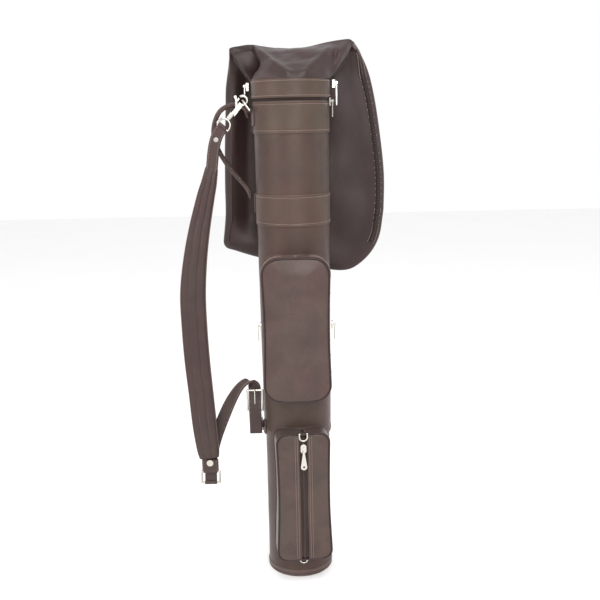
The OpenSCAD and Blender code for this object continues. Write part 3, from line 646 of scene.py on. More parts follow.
def make_band(node):
    """Leather band with turned edges, a pressed groove and a row of stitches along each edge."""
    low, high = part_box(node)[0].z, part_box(node)[1].z
    proud = 1.35 * MM
    inset = 5.2 * MM
    edge = [(z * MM, lift * MM) for z, lift in BAND_EDGE]
    line = [(low, 0.1 * MM)] + [(low + z, lift) for z, lift in edge]
    line += [(z, proud) for z in np.linspace(low + 9 * MM, high - 9 * MM, 8)]
    line += [(high - z, lift) for z, lift in edge[::-1]] + [(high, 0.1 * MM)]
    lathe([(tube_radius(z) + lift, z) for z, lift in line], wobble=0.2 * MM).put(
        node + "_leather", "band_leather", node, sharp=70)
    rows = stitch_rings(Shape(), *[(tube_radius(z) + 1.0 * MM, z) for z in (low + inset, high - inset)])
    rows.put(node + "_stitches", "thread", slot="band_leather")


def make_rim_zip(node, toward):
    """One half of the rim zip: tape and a ring of coil teeth. toward is +1 where the teeth point up."""
    low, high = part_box(node)[0].z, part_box(node)[1].z
    inner, outer = UPPER_R1 - 2.2 * MM, UPPER_R1 + 0.3 * MM
    tape = lathe([(inner, low), (outer, low), (outer, high), (inner, high)])
    tape.put(node + "_tape", "zip_tape", node, sharp=40)
    teeth = Shape()
    z = (high if toward > 0 else low) + toward * 0.02 * MM
    path, out = ring_path(UPPER_R1 + 0.35 * MM, z, count=250)
    beads(teeth, path, np.broadcast_to([0, 0, 1.0], path.shape), out, 2.0 * MM, 0.42 * MM, sides=5)
    teeth.put(node + "_teeth", "coil", slot="zip_tape")


def make_collar():
    """Collar ring that the hood is sewn to, with turned edges and a row of stitches at each."""
    low, high, r = COLLAR_Z0, COLLAR_Z1, COLLAR_R
    profile = [(r - 2.4 * MM, low), (r - 0.9 * MM, low), (r - 0.2 * MM, low + 0.7 * MM), (r, low + 2 * MM)]
    for z in np.linspace(low + 4 * MM, high - 4 * MM, 6):
        profile.append((r - 0.35 * MM * math.sin((z - low) / (high - low) * math.pi), z))
    profile += [(r, high - 2 * MM), (r - 0.3 * MM, high - 0.6 * MM), (r - 1.0 * MM, high),
                (r - 2.4 * MM, high)]
    lathe(profile, wobble=0.3 * MM).put("collar_leather", "band_leather", "collar_ring", sharp=60)
    rows = stitch_rings(Shape(), (r - 0.1 * MM, low + 3.6 * MM), (r - 0.1 * MM, high - 3.0 * MM))
    rows.put("collar_stitches", "thread", slot="band_leather")


def make_rim_hinge():
    """Leather flap at the back that ties the collar to the tube."""
    low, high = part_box("rim_hinge")
    r = radius_near("rim_hinge", (low.z + high.z) / 2, 20 * MM)
    profile = rounded_profile((r - 1.4 * MM, r), (r - 1.4 * MM, r + 0.1 * MM), low.z, high.z, 0.5 * MM)
    flap = lathe(profile, start=68, turn=44)
    flap.put("hinge_flap", "band_leather", "rim_hinge", slot="hood_leather", sharp=60)
    rows = Shape()
    for z in (low.z + 3 * MM, low.z + 7 * MM):
        path, out = ring_path(r + 0.1 * MM, z, 70, 40)
        stitch_line(rows, path, out)
    rows.put("hinge_stitches", "thread", slot="hood_leather")


# ---------------------------------------------------------------- hood

# Lines of the hood in millimetres: [x, z] seen from the front, [x, y, z] up the neck.
CREST_LINE = [(-105, 940), (-86, 943.5), (-66, 945), (-28, 939.5), (0, 937), (24, 938.5), (61, 946.5),
              (88, 950.5), (103, 951.5), (109, 948)]
HANG_LEFT = [(-105, 940), (-109, 905), (-115, 855), (-121, 785), (-124, 705), (-125, 650), (-131, 597)]
HANG_RIGHT = [(109, 948), (121, 938), (133, 914), (141, 889), (150, 849), (158, 798), (165, 740), (167, 700),
              (166, 652)]
HANG_BOTTOM = [(-131, 597), (-127, 588), (-112, 583), (-68, 569), (0, 553), (60, 544), (89, 541),
               (112, 547), (140, 571), (158, 604), (166, 652)]
# Side views of the near and far sheets: distance below the crest, distance behind the fold.
NEAR_SIDE = [(0, 0), (6, 7), (14, 11), (30, 15.5), (60, 19.5), (140, 21), (260, 23), (340, 25), (400, 28)]
FAR_SIDE = [(0, 0), (3, 14), (12, 29), (34, 42), (74, 49), (150, 54), (260, 55), (340, 52), (400, 46)]
NECK_FRONT_LEFT = [(-65.5, -9, 882.6), (-58, -6, 897), (-50, 2, 911), (-58, 22, 929), (-66, 48, 945)]
NECK_FRONT_RIGHT = [(65.5, -9, 882.6), (74, -2, 896), (85, 10, 914), (97, 30, 934), (108, 50, 948.5)]
NECK_BACK_RIGHT = [(65.5, 9, 882.6), (77, 15, 894), (88.5, 28, 908), (100, 41.5, 923), (108, 52, 938)]
NECK_BACK_LEFT = [(-65.5, 9, 882.6), (-78, 20, 896), (-89, 32, 911), (-99, 44, 927), (-105, 52, 938)]
NECK_TUCK = [(-66, 0, 882.6), (-54, 30, 892), (-38, 49, 899), (-56, 51, 912), (-92, 51, 938)]
# Each crease: how far it rises, x and z of its two ends, and its half width.
CREASES = [(7.0, -62, 938, -4, 890, 7), (3.5, -4, 889, 26, 890, 7), (5.0, 26, 891, 66, 930, 8),
           (-5.0, -58, 905, -28, 888, 8), (-5.0, -16, 925, 22, 918, 16), (-6.5, 66, 892, 76, 926, 6),
           (3.5, 84, 926, 92, 938, 7)]
SEAM_R = 66 * MM
SEAM_TURN = math.asin(9 / 65.5)
CREST_DROP = 11 * MM
NECK_ROWS = 30
FRONT_COLUMNS = 54
BACK_COLUMNS = 40
HOOD_T = 2.0 * MM
HANG_COLUMNS = 72
HANG_ROWS = 84
NEAR_INSET = 13 * MM
FAR_INSET = 4 * MM
HOLLOW_DEPTH = 13 * MM
HOOD_ZIP_SPAN = (0.60, 0.985)


def from_mm(points):
    return np.array(points, float) * MM


def crest_z(x):
    """Height of the crest at a place across the hood."""
    line = curve_through(from_mm(CREST_LINE), 8)
    return np.interp(x, line[:, 0], line[:, 1])


def side_track(points, v):
    """Point of a listed track of [x, y, z] in millimetres at shares of its length."""
    line = curve_through(from_mm(points), 8)
    at = np.linspace(0, 1, len(line))
    return np.stack([np.interp(v, at, line[:, k]) for k in range(3)], axis=-1)


def ripple(x, z, x0, z0, x1, z1, width):
    """Strength, 1 on a straight crease from one point to another and falling to 0 beside it."""
    d = np.array([x1 - x0, z1 - z0]) * MM
    px, pz = x - x0 * MM, z - z0 * MM
    t = np.clip((px * d[0] + pz * d[1]) / (d @ d), 0, 1)
    gap = np.hypot(px - t * d[0], pz - t * d[1])
    return np.exp(-(gap / (width * MM)) ** 2)


def seam_bow(start, columns):
    """How far the collar's seam bows out from its chord, along the half that begins at an angle."""
    s = np.linspace(0, 1, columns)
    angle = start + SEAM_TURN + s * (math.pi - 2 * SEAM_TURN)
    ring = np.stack([SEAM_R * np.cos(angle), SEAM_R * np.sin(angle), np.zeros(columns)], axis=1)
    return ring - (ring[0] + (ring[-1] - ring[0]) * s[:, None])


def draw_to(points, join, y, z):
    """Moves points towards a depth and heights by a share."""
    points[:, 2] = points[:, 2] * (1 - join) + z * join
    points[:, 1] = points[:, 1] * (1 - join) + y * join


def neck_front_row(v):
    """Front sheet of the neck at a share v of the way from the collar to the crest."""
    left, right = side_track(NECK_FRONT_LEFT, v), side_track(NECK_FRONT_RIGHT, v)
    s = np.linspace(0, 1, FRONT_COLUMNS)
    row = left + (right - left) * s[:, None]
    row += seam_bow(math.pi, FRONT_COLUMNS) * (1 - v) ** 1.35
    lift = math.sin(math.pi * min(v * 1.15, 1.0)) * 9 * MM
    row[:, 2] += lift * np.sin(math.pi * s) ** 0.8
    draw_to(row, smoothstep(v, 0.72, 1.0), FOLD.y, crest_z(row[:, 0]))
    return row


def crumple_front(row, v):
    """Swags and creases of the front sheet, laid on as shifts up and towards the viewer."""
    rise = sum(height * ripple(row[:, 0], row[:, 2], *crease) for height, *crease in CREASES)
    rise += 1.6 * smooth_noise(row, 38, 3.1) + 0.7 * smooth_noise(row, 90, 8.0)
    fade = math.sin(math.pi * v) ** 0.6
    out = row.copy()
    out[:, 1] -= rise * MM * fade * 0.75
    out[:, 2] += rise * MM * fade * 0.65
    return out


def neck_rows():
    """Rings of the neck from the collar to the crest: front sheet, right edge, back sheet, left tuck."""
    rows = []
    for v in np.linspace(0, 1, NECK_ROWS):
        front = crumple_front(neck_front_row(v), v)
        a, b = front[0], front[-1]
        c, d, e = (side_track(track, v) for track in (NECK_BACK_RIGHT, NECK_BACK_LEFT, NECK_TUCK))
        s = np.linspace(0, 1, BACK_COLUMNS)[:, None]
        back = c + (d - c) * s + seam_bow(0, BACK_COLUMNS) * (1 - v) ** 1.5
        join = smoothstep(v, 0.7, 1.0)
        draw_to(back, join, FOLD.y, crest_z(back[:, 0]) - CREST_DROP)
        edge = np.array([b + (c - b) * t + np.array([1.2 * MM * math.sin(math.pi * t), 0, 0])
                         for t in (0.25, 0.5, 0.75)])
        tuck = curve_through([d, (d + e) / 2 + np.array([0, 3 * MM, -2 * MM]), e, (e + a) / 2, a], 5)[1:-1]
        draw_to(tuck, join, FOLD.y - 1 * MM, crest_z(tuck[:, 0]))
        rows.append(np.vstack([front, edge, back, tuck]))
    return np.array(rows)


def make_neck():
    """Leather between the collar and the crest, open at both and closed round its sides."""
    shape = Shape().grid(neck_rows(), wrap_columns=True)
    neck = settle(shape.build("hood_neck_leather", "hood_leather"), HOOD_T)
    place(neck, "bag", "hood_leather", "hood_neck", "hood_crest")


def coons(top, bottom, left, right):
    """Grid of [x, z] points between four border curves."""
    s = np.linspace(0, 1, HANG_COLUMNS)[:, None]
    top, bottom = resample(top, HANG_COLUMNS), resample(bottom, HANG_COLUMNS)
    left, right = resample(left, 200), resample(right, 200)
    at = np.linspace(0, 1, 200)
    made = []
    for v in np.linspace(0, 1, HANG_ROWS) ** 1.15:
        first, last = (np.array([np.interp(v, at, side[:, k]) for k in (0, 1)]) for side in (left, right))
        drop = top * (1 - v) + bottom * v
        made.append(first + (last - first) * s + drop - (drop[0] * (1 - s) + drop[-1] * s))
    return np.array(made)


def depth_of(points, side):
    """How far behind the fold a hanging sheet is, from its depth below the crest."""
    below = np.maximum(crest_z(points[..., 0]) - points[..., 1], 0)
    line = curve_through(from_mm(side), 6)
    return FOLD.y + np.interp(below, line[:, 0], line[:, 1])


def inset_outline(amount):
    """Left, bottom and right border curves of the hanging part, moved in by an amount away from the top."""
    left, bottom, right = (curve_through(from_mm(line), 8) for line in (HANG_LEFT, HANG_BOTTOM, HANG_RIGHT))
    whole = np.vstack([left[:-1], bottom[:-1], right[::-1]])
    d = unit(np.gradient(whole, axis=0))
    inward = np.stack([-d[:, 1], d[:, 0]], axis=1)
    share = np.linspace(0, 1, len(whole))
    fade = smoothstep(share, 0, 0.12) * smoothstep(1 - share, 0, 0.12)
    moved = whole + inward * amount * fade[:, None]
    a, b = len(left) - 1, len(left) + len(bottom) - 2
    return moved[:a + 1], moved[a:b + 1], moved[b:][::-1]


def hang_sheet(inset, side, drop, swell, hollow=0.0):
    """One hanging sheet as rows of points, from the crest down to its lower edge."""
    left, bottom, right = inset_outline(inset)
    x = np.linspace(left[0][0], right[0][0], 60)
    flat = coons(np.stack([x, crest_z(x)], axis=1), bottom, left, right)
    points = np.stack([flat[..., 0], depth_of(flat, side), flat[..., 1]], axis=-1)
    u = np.linspace(0, 1, HANG_COLUMNS)[None, :]
    v = np.linspace(0, 1, HANG_ROWS)[:, None]
    points[..., 2] -= drop * (1 - smoothstep(v, 0.0, 0.25))
    middle = np.sin(math.pi * u) ** 0.7 * smoothstep(v, 0.02, 0.25) * smoothstep(1 - v, 0.0, 0.14)
    flutes = np.sin(u * 11 + 1.2 * np.sin(v * 3)) * 2.8 + np.sin(u * 23 + v * 2.5) * 0.9
    at = points.reshape(-1, 3)
    rough = smooth_noise(at, 9, 2.0) * 6.5 + smooth_noise(at * [1, 1, 0.5], 26, 5.0) * 2.6
    points[..., 1] += swell * middle * (flutes + rough.reshape(HANG_ROWS, HANG_COLUMNS) + 2.0) * MM
    dip = smoothstep(u, 0.03, 0.13) * smoothstep(0.46 - u, 0.0, 0.20)
    points[..., 1] += hollow * dip * smoothstep(v, 0.06, 0.30) * smoothstep(1 - v, 0.0, 0.16)
    return points


def edge_path(sheet):
    """The sheet's left, lower and right borders as one path."""
    return np.vstack([sheet[:, 0], sheet[-1, 1:], sheet[::-1, -1][1:]])


def hang_blend(piece):
    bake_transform(piece)


def make_hanging_hood():
    """The hood hanging behind: near and far sheets, the gusset round them, zip and stitches."""
    near = hang_sheet(NEAR_INSET, NEAR_SIDE, CREST_DROP, 1.0, hollow=HOLLOW_DEPTH)
    far = hang_sheet(FAR_INSET, FAR_SIDE, 0.0, 1.3)
    shape = Shape().grid(near).grid(far)
    a, b = edge_path(near), edge_path(far)
    d = unit(np.gradient((a + b) / 2, axis=0))
    out = unit(np.stack([d[:, 2], np.zeros(len(d)), -d[:, 0]], axis=1))
    share = np.linspace(0, 1, len(a))
    fade = (smoothstep(share, 0.0, 0.1) * smoothstep(1 - share, 0.0, 0.1))[:, None]
    strip = []
    for k in np.linspace(0, 1, 12):
        bulge = math.sin(math.pi * min(k * 1.25, 1.0)) * 4 + math.sin(math.pi * k) * 5
        strip.append(a * (1 - k) + b * k + out * bulge * MM * fade)
    shape.grid(np.array(strip))
    bag = settle(shape.build("hood_hanging_leather", "hood_leather", weld=0.05 * MM), HOOD_T)
    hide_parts("hood_inner_panel", "hood_outer_panel", "hood_gusset")
    hang_blend(bag)
    make_hood_zip(a, strip[2])


def make_hood_zip(edge, beyond):
    """Closed zip along the edge of the near sheet, with a row of stitches on each side of it."""
    keep = slice(*(int(share * len(edge)) for share in HOOD_ZIP_SPAN))
    path, outer = resample(edge[keep], 260), resample(beyond[keep], 260)
    across = unit(outer - path)
    facing = unit(np.cross(tangents(path), across))
    facing *= np.sign(-facing[:, 1:2])
    tape = Shape()
    sweep(tape, path + facing * 0.5 * MM, across, strap_section(8.5 * MM, 0.9 * MM, columns=3))
    hang_blend(tape.build("hood_zip_tape", "zip_tape"))
    teeth = zip_teeth(path, across, facing, 2.2 * MM, 0.9 * MM, 4.4 * MM, 0.75 * MM)
    hang_blend(teeth.build("hood_zip_teeth", "coil"))
    rows = Shape()
    for reach, lift in ((-7.5, 0.7), (6.5, 1.6)):
        stitch_line(rows, path + across * reach * MM + facing * lift * MM, facing)
    hang_blend(rows.build("hood_stitches", "thread"))


def make_neck_zip(node, side):
    """Zip tape and teeth up one edge of the neck."""
    points = node_points(node)
    height = points[:, 2]
    low = points[height < height.min() + 8 * MM].mean(0)
    high = points[height > height.max() - 8 * MM].mean(0)
    path = low + (high - low) * np.linspace(0, 1, 24)[:, None]
    across = (0, -0.6, 0.8)
    tape = Shape()
    sweep(tape, path, across, strap_section(6 * MM, 1.0 * MM, columns=3))
    tape.put(node + "_tape", "zip_tape", node)
    teeth = zip_teeth(path, across, unit([side, -0.2, 0.2]), 2.0 * MM, 0.5 * MM, 3.2 * MM, 0.6 * MM)
    teeth.put(node + "_teeth", "coil", slot="zip_tape")


# ---------------------------------------------------------------- handle

# Heights that part the upper of two tabs from the lower one.
HANDLE_MIDDLE = 0.75
HANDLE_LINE = [(-72.1, 822), (-78, 838), (-90, 845), (-107, 842), (-122, 832), (-131, 812), (-132.5, 790),
               (-126, 770), (-112, 745), (-92, 720), (-78, 702), (-72.1, 686)]


def make_handle():
    """Rolled leather handle with its sewn seam."""
    y = pivot("handle_swing").y
    path = resample([(x, y, z) for x, z in curve_through(from_mm(HANDLE_LINE), 8)], 90)
    count = len(path)
    share = np.linspace(0, 1, count)
    taper = 0.82 + 0.18 * np.minimum(1, np.minimum(share, 1 - share) / 0.08)
    a = np.radians(np.arange(0, 360, 15))
    ridge = np.exp(-(np.degrees(np.abs(np.angle(np.exp(1j * (a - math.pi))))) / 20) ** 2)
    radius = (4.1 + 0.9 * ridge) * MM
    section = np.stack([radius * np.cos(a), radius * np.sin(a)], axis=1)
    shape = Shape()
    sweep(shape, path, (0, 1, 0), section, scale=taper)
    grip = settle(shape.build("handle_leather", "strap_leather"), sharp=0)
    place(grip, "handle", "strap_leather", "handle_grip")
    rows = Shape()
    along = tangents(path)
    side = np.cross(along, (0, 1, 0))
    for turn in (-1, 1):
        out = unit(np.array([0, -1.0, 0]) * math.cos(0.42) + turn * side * math.sin(0.42))
        line = path + out * (4.35 * MM) * taper[:, None]
        stitch_line(rows, line[3:-3], out[3:-3], pitch=3.6 * MM, radius=0.36 * MM)
    rows.put("handle_stitches", "thread", slot="strap_leather", body="handle")


def patch_outline(width, height, corner, count=8):
    """Rounded rectangle about the origin, anticlockwise."""
    points = []
    for cx, cz, a0 in ((1, 1, 0), (-1, 1, 90), (-1, -1, 180), (1, -1, 270)):
        for a in np.radians(a0 + np.linspace(0, 90, count)):
            points.append((cx * (width / 2 - corner) + corner * math.cos(a),
                           cz * (height / 2 - corner) + corner * math.sin(a)))
    return np.array(points)


def tube_patch(shape, stitches, centre_angle, z0, z1, width, radius, thick, corner):
    """Sewn leather patch that follows the tube, with stitches near its edge."""
    outline = patch_outline(width, z1 - z0, corner)
    middle = (z0 + z1) / 2

    def wrap(points, lift):
        a = math.radians(centre_angle) + points[:, 0] / radius
        r = radius + lift
        return np.stack([r * np.cos(a), r * np.sin(a), middle + points[:, 1]], axis=1)
    rings = [wrap(outline, 0.0), wrap(outline, thick * 0.55), wrap(outline * 0.975, thick * 0.9),
             wrap(outline * 0.93, thick), wrap(outline * 0.84, thick * 0.86), wrap(outline * 0.74, thick)]
    rings += [wrap(outline * k, thick) for k in (0.5, 0.25)]
    shape.grid(np.array(rings), wrap_columns=True)
    shape.cap(rings[-1])
    shape.cap(rings[0])
    line = wrap(outline * 0.84, thick * 0.9)
    a = math.radians(centre_angle)
    stitch_line(stitches, resample(line, 60, closed=True), (math.cos(a), math.sin(a), 0), closed=True,
                pitch=3.4 * MM)


def make_handle_tabs():
    """Leather patches that the handle's two ends are sewn under."""
    shape, rows = Shape(), Shape()
    for part in split_at("handle_tabs", HANDLE_MIDDLE):
        z0, z1 = part[:, 2].min(), part[:, 2].max()
        angle = math.degrees(math.atan2(part[:, 1].mean(), part[:, 0].mean()))
        tube_patch(shape, rows, angle, z0, z1, 17 * MM, float(off_axis(part).min()), 1.9 * MM, 5 * MM)
    shape.put("handle_patches", "strap_leather", "handle_tabs")
    rows.put("handle_patch_stitches", "thread", slot="strap_leather")


# ---------------------------------------------------------------- shoulder strap

TOP_LINE = [(-117, 805.6), (-124, 795), (-129.5, 780), (-133, 762), (-135.6, 742), (-136.9, 733)]
PAD_LINE = [(-135.8, 741.4, 11), (-142, 714, 14), (-149, 689, 16), (-162, 634, 19), (-172, 578, 21.5),
            (-178, 521, 23.3), (-178, 462, 23.4), (-176, 403, 23.4), (-172, 343, 23), (-168, 282, 22.8),
            (-164, 236, 21), (-162, 216, 18)]
# The narrow strap's middle as x, y, z in millimetres, and the direction across it.
NARROW_LINE = [
    (-161, -15.5, 171, 1, 0, 0), (-161, -12, 184, 1, 0, 0), (-161, -11, 200, 1, 0, 0),
    (-158, -9, 222, 1, 0.1, 0.1), (-149, -7, 254, 0.9, 0, -0.3), (-134, -7, 292, 0.8, -0.2, -0.5),
    (-119, -9, 324, 0.6, -0.5, -0.5), (-104, -12.5, 348, 0.4, -0.8, -0.4), (-91, -14.5, 360, 0.3, -1, -0.2),
    (-81, -12, 359, 0.7, -0.7, 0.3), (-76.5, -12, 350, 1, -0.05, 0), (-75.5, -13.6, 341, 1, 0, 0),
    (-75.5, -16.5, 331, 1, 0, 0), (-75.5, -20.8, 318, 1, 0, 0), (-75.5, -23.2, 307, 1, 0, 0),
    (-75.2, -23.5, 290, 1, 0, 0), (-75, -23.5, 266, 1, 0, 0)]


STRAP_MIDDLE = 0.6
WIRE_HOLE = 1.9 * MM
RING_INSET = 1.8 * MM
STUB_INSET = 3.4 * MM


def pad_section(half, thick, columns=13):
    """Padded section of three lobes with a sewn groove between each pair, as [across, out] points."""
    s = np.linspace(-1, 1, 2 * columns + 1)
    lobe = np.abs(np.cos(s * math.pi * 1.5)) ** 0.55
    crown = (1 - np.abs(s) ** 3.2)
    front = thick * (0.42 + 0.58 * lobe) * crown ** 0.6
    back = -thick * 0.42 * crown ** 0.5
    top = np.stack([s * half, front], axis=1)
    low = np.stack([s[::-1] * half, back[::-1]], axis=1)[1:-1]
    return np.vstack([top, low])


def make_strap_pad():
    """Padded shoulder strap with two sewn grooves and stitched edges."""
    line = curve_through(from_mm(PAD_LINE), 8)
    rows, stitches, shape = resample(line, 150), Shape(), Shape()
    centre = np.stack([rows[:, 0], np.full(len(rows), STRAP_Y), rows[:, 1]], axis=1)
    across = unit(np.cross(tangents(centre), (0, 1, 0)))
    out = np.array([0, -1.0, 0])
    share = np.linspace(0, 1, len(rows))
    ends = np.minimum(1, 0.42 + 0.58 * np.sqrt(np.minimum(1, np.minimum(share, 1 - share) / 0.045)))
    low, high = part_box("strap_pad")
    deep = (high.y - low.y) / 2 * ends
    rings = []
    for k in range(len(rows)):
        section = pad_section(rows[k, 2], deep[k])
        puff = 1 + 0.05 * noise.noise(Vector(centre[k]) * 30)
        rings.append(centre[k] + section[:, :1] * across[k] + section[:, 1:] * out * puff)
    shape.grid(np.array(rings), wrap_columns=True)
    shape.cap(rings[0])
    shape.cap(rings[-1])
    pad = settle(shape.build("shoulder_pad", "strap_leather"), sharp=60)
    place(pad, "strap", "strap_leather", "strap_pad")
    for reach, rise, lift, last in ((1 / 3, 0.45, 0.4, -4), (0.93, 0.40, 0.1, -6)):
        for side in (-1, 1):
            line = centre + across * rows[:, 2:] * (side * reach) + out * (deep * rise + lift * MM)[:, None]
            stitch_line(stitches, line[4:last], out, pitch=4.4 * MM)
    stitches.put("shoulder_pad_stitches", "thread", slot="strap_leather", body="strap")


def ribbon(name, node, path, across, width, thick, loop):
    """Flat leather strap with a loop at one end and a row of stitches along each edge on both faces."""
    path, across = np.array(path, float), np.array(across, float)
    shape = Shape()
    sweep(shape, path, across, strap_section(width, thick))
    wrap_round(shape, *loop)
    shape.put(name, "strap_leather", node, body="strap", sharp=70)
    along = tangents(path)
    wide = unit(across - (across * along).sum(1)[:, None] * along)
    high = np.cross(along, wide)
    rows = Shape()
    for side in (-1, 1):
        for face in (-1, 1):
            line = path + wide * side * (width / 2 - 2.6 * MM) + high * face * thick * 0.5
            stitch_line(rows, line[2:-2], high[2:-2] * face, pitch=3.6 * MM)
    rows.put(name + "_stitches", "thread", slot="strap_leather", body="strap")


def wrap_round(shape, centre, axis, inner, outer, span):
    """Leather loop round a ring wire: a hollow roll along an axis."""
    axis = unit(axis)
    side = unit(np.cross(axis, (0.3, 1, 0.2)))
    up = np.cross(axis, side)
    bevel = (outer - inner) * 0.3
    profile = [(inner, -span / 2), (outer - bevel, -span / 2), (outer, -span / 2 + bevel), (outer, 0),
               (outer, span / 2 - bevel), (outer - bevel, span / 2), (inner, span / 2)]
    rows = []
    for a in np.linspace(0, 2 * math.pi, 28, endpoint=False):
        out = math.cos(a) * side + math.sin(a) * up
        rows.append([np.array(centre) + r * out + h * axis for r, h in profile])
    shape.grid(np.array(rows), wrap_rows=True, wrap_columns=True)


def make_straps():
    """Plain straps at both ends of the shoulder pad, the end tab and the short folded strap."""
    line = resample(curve_through(from_mm(TOP_LINE), 10), 40)
    path = np.stack([line[:, 0], np.full(len(line), STRAP_Y), line[:, 1]], axis=1)
    swivel = Vector(joint("hook_swivel")["axis"])
    eye = np.array(pivot("hook_swivel") + swivel * -55 * MM)
    ribbon("top_strap", "strap_top", path, np.cross(tangents(path), (0, 1, 0)), 20 * MM, 4.6 * MM,
           (eye, (swivel.z, 0, -swivel.x), 1.8 * MM, 3.6 * MM, 17 * MM))
    rows = resample(curve_through(np.array(NARROW_LINE) * [MM, MM, MM, 1, 1, 1], 10), 190)
    low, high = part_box("strap_ring")
    x = (low.x + high.x) / 2
    ribbon("narrow_strap", "strap_narrow", rows[:, :3], rows[:, 3:], 22 * MM, 2.9 * MM,
           ((x, STRAP_Y, low.z + RING_INSET), (1, 0, 0), WIRE_HOLE, 3.6 * MM, 22 * MM))
    bar_z = high.z - RING_INSET
    path = [(x, STRAP_Y, z) for z in np.linspace(bar_z + 1 * MM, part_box("strap_end_tab")[1].z, 16)]
    ribbon("end_tab", "strap_end_tab", path, np.tile([1.0, 0, 0], (16, 1)), 30 * MM, 6.6 * MM,
           ((x, STRAP_Y, bar_z), (1, 0, 0), WIRE_HOLE, 3.6 * MM, 26 * MM))
    make_stub()


def make_stub():
    """Short strap folded round the lower ring and the buckle bar."""
    low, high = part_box("strap_stub")
    heights = np.linspace(low.z + STUB_INSET, high.z - STUB_INSET, 10)
    x = (low.x + high.x) / 2
    wide = high.x - low.x - 2 * MM
    shape, rows = Shape(), Shape()
    for side in (-1, 1):
        path = [(x, STRAP_Y + side * 2.5 * MM, z) for z in heights]
        sweep(shape, path, (1, 0, 0), strap_section(wide, 1.7 * MM))
        for s in (-1, 1):
            line = [(x + s * (wide / 2 - 2 * MM), STRAP_Y + side * 3.35 * MM, z) for z in heights]
            stitch_line(rows, line, (0, side, 0), pitch=3.4 * MM)
    bar_z = pivot("buckle_prong_lift").z
    for shift, z, span in ((-0.32, bar_z, 0.34), (0.32, bar_z, 0.34), (0, heights[0], 1)):
        wrap_round(shape, (x + wide * shift, STRAP_Y, z), (1, 0, 0), WIRE_HOLE, 3.4 * MM, wide * span)
    shape.put("short_strap", "strap_leather", "strap_stub", body="strap", sharp=70)
    rows.put("short_strap_stitches", "thread", slot="strap_leather", body="strap")


def make_anchor_tabs():
    """Sewn tabs on the tube that hold the upper D-ring and the lower ring."""
    upper, lower = split_at("strap_anchor_tabs", STRAP_MIDDLE)
    shape, rows = Shape(), Shape()
    swing, at = Vector(joint("strap_swing")["axis"]), pivot("strap_swing")
    low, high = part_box("strap_ring_lower")
    ring_eye = at + swing * (((low.z + high.z) / 2 - at.z) / swing.z)
    for part, width, eye, axis in ((upper, 12, pivot("upper_dring_tilt"), (0, 1, 0)),
                                   (lower, 14, ring_eye, swing)):
        away = off_axis(part)
        inner = float(away.min())
        flat = part[away < inner + 2.3 * MM]
        angle = math.degrees(math.atan2(flat[:, 1].mean(), flat[:, 0].mean()))
        z0, z1 = flat[:, 2].min(), flat[:, 2].max()
        tube_patch(shape, rows, angle, z0, z1, width * MM, inner, 1.9 * MM, 3 * MM)
        wrap_round(shape, eye, axis, WIRE_HOLE, 3.3 * MM, 12 * MM)
    shape.put("anchor_patches", "strap_leather", "strap_anchor_tabs", sharp=70)
    rows.put("anchor_stitches", "thread", slot="strap_leather")


# ---------------------------------------------------------------- pockets

LOW_POCKET_MIDDLE = 0.15
POCKET_WAIST = 3.0 * MM
PANEL_INSET = 2.0 * MM
PANEL_BACK = (0, 1.8 * MM, 0)


class Pocket:
    """Outline and depth of a boxed pocket on the front of the tube, in its own turned frame."""

    def __init__(self, node, turn, corner, taper=0.0):
        low, high = turned_box(node, turn)
        edge = 0.9 * MM
        self.turn = turn
        self.width = (high[0] - low[0]) / 2 - edge
        self.taper = taper
        self.z0 = low[2] + edge
        self.z1 = high[2] - edge
        self.front = -low[1]
        self.pipe = high[1] - low[1]
        self.corner = corner

    def half(self, z):
        """Half width at a height before the corners are rounded."""
        share = np.clip((z - self.z0) / (self.z1 - self.z0), 0, 1)
        return self.width - self.taper * share - POCKET_WAIST * np.sin(math.pi * share) ** 1.5

    def edge_x(self, z, inset):
        """Half width at a height with the rounded corners, moved in by an inset."""
        r = self.corner - inset
        z0, z1 = self.z0 + inset, self.z1 - inset
        near = np.minimum(z - z0, z1 - z)
        cut = np.where(near < r, r - np.sqrt(np.maximum(r * r - (r - near) ** 2, 0)), 0)
        return self.half(z) - inset - cut

    def outline(self, inset, count=260):
        """Closed path of [x, z] points round the pocket, from the middle of the lower edge to the right."""
        z0, z1, r = self.z0 + inset, self.z1 - inset, self.corner - inset
        rise = [z0 + r * (1 - math.cos(a)) for a in np.linspace(0, math.pi / 2, 14)]
        fall = [z1 - r * (1 - math.cos(a)) for a in np.linspace(math.pi / 2, 0, 14)]
        heights = np.array(rise + list(np.linspace(z0 + r, z1 - r, 40)[1:-1]) + fall)
        right = np.stack([self.edge_x(heights, inset), heights], axis=1)
        left = np.stack([-right[::-1, 0], right[::-1, 1]], axis=1)
        return resample(np.vstack([[(0, z0)], right, left]), count, closed=True)

    def to_world(self, points):
        return turn_about_axis(np.array(points, float).reshape(-1, 3), self.turn).reshape(np.shape(points))


def slab(shape, rows, shift):
    """A sheet with its underside a shift away, closed round its four borders."""
    rows = np.array(rows, float)
    under = rows + np.array(shift)
    shape.grid(rows)
    shape.grid(under)
    for border in (np.s_[0], np.s_[-1], np.s_[:, 0], np.s_[:, -1]):
        shape.grid(np.array([rows[border], under[border]]))
    return shape


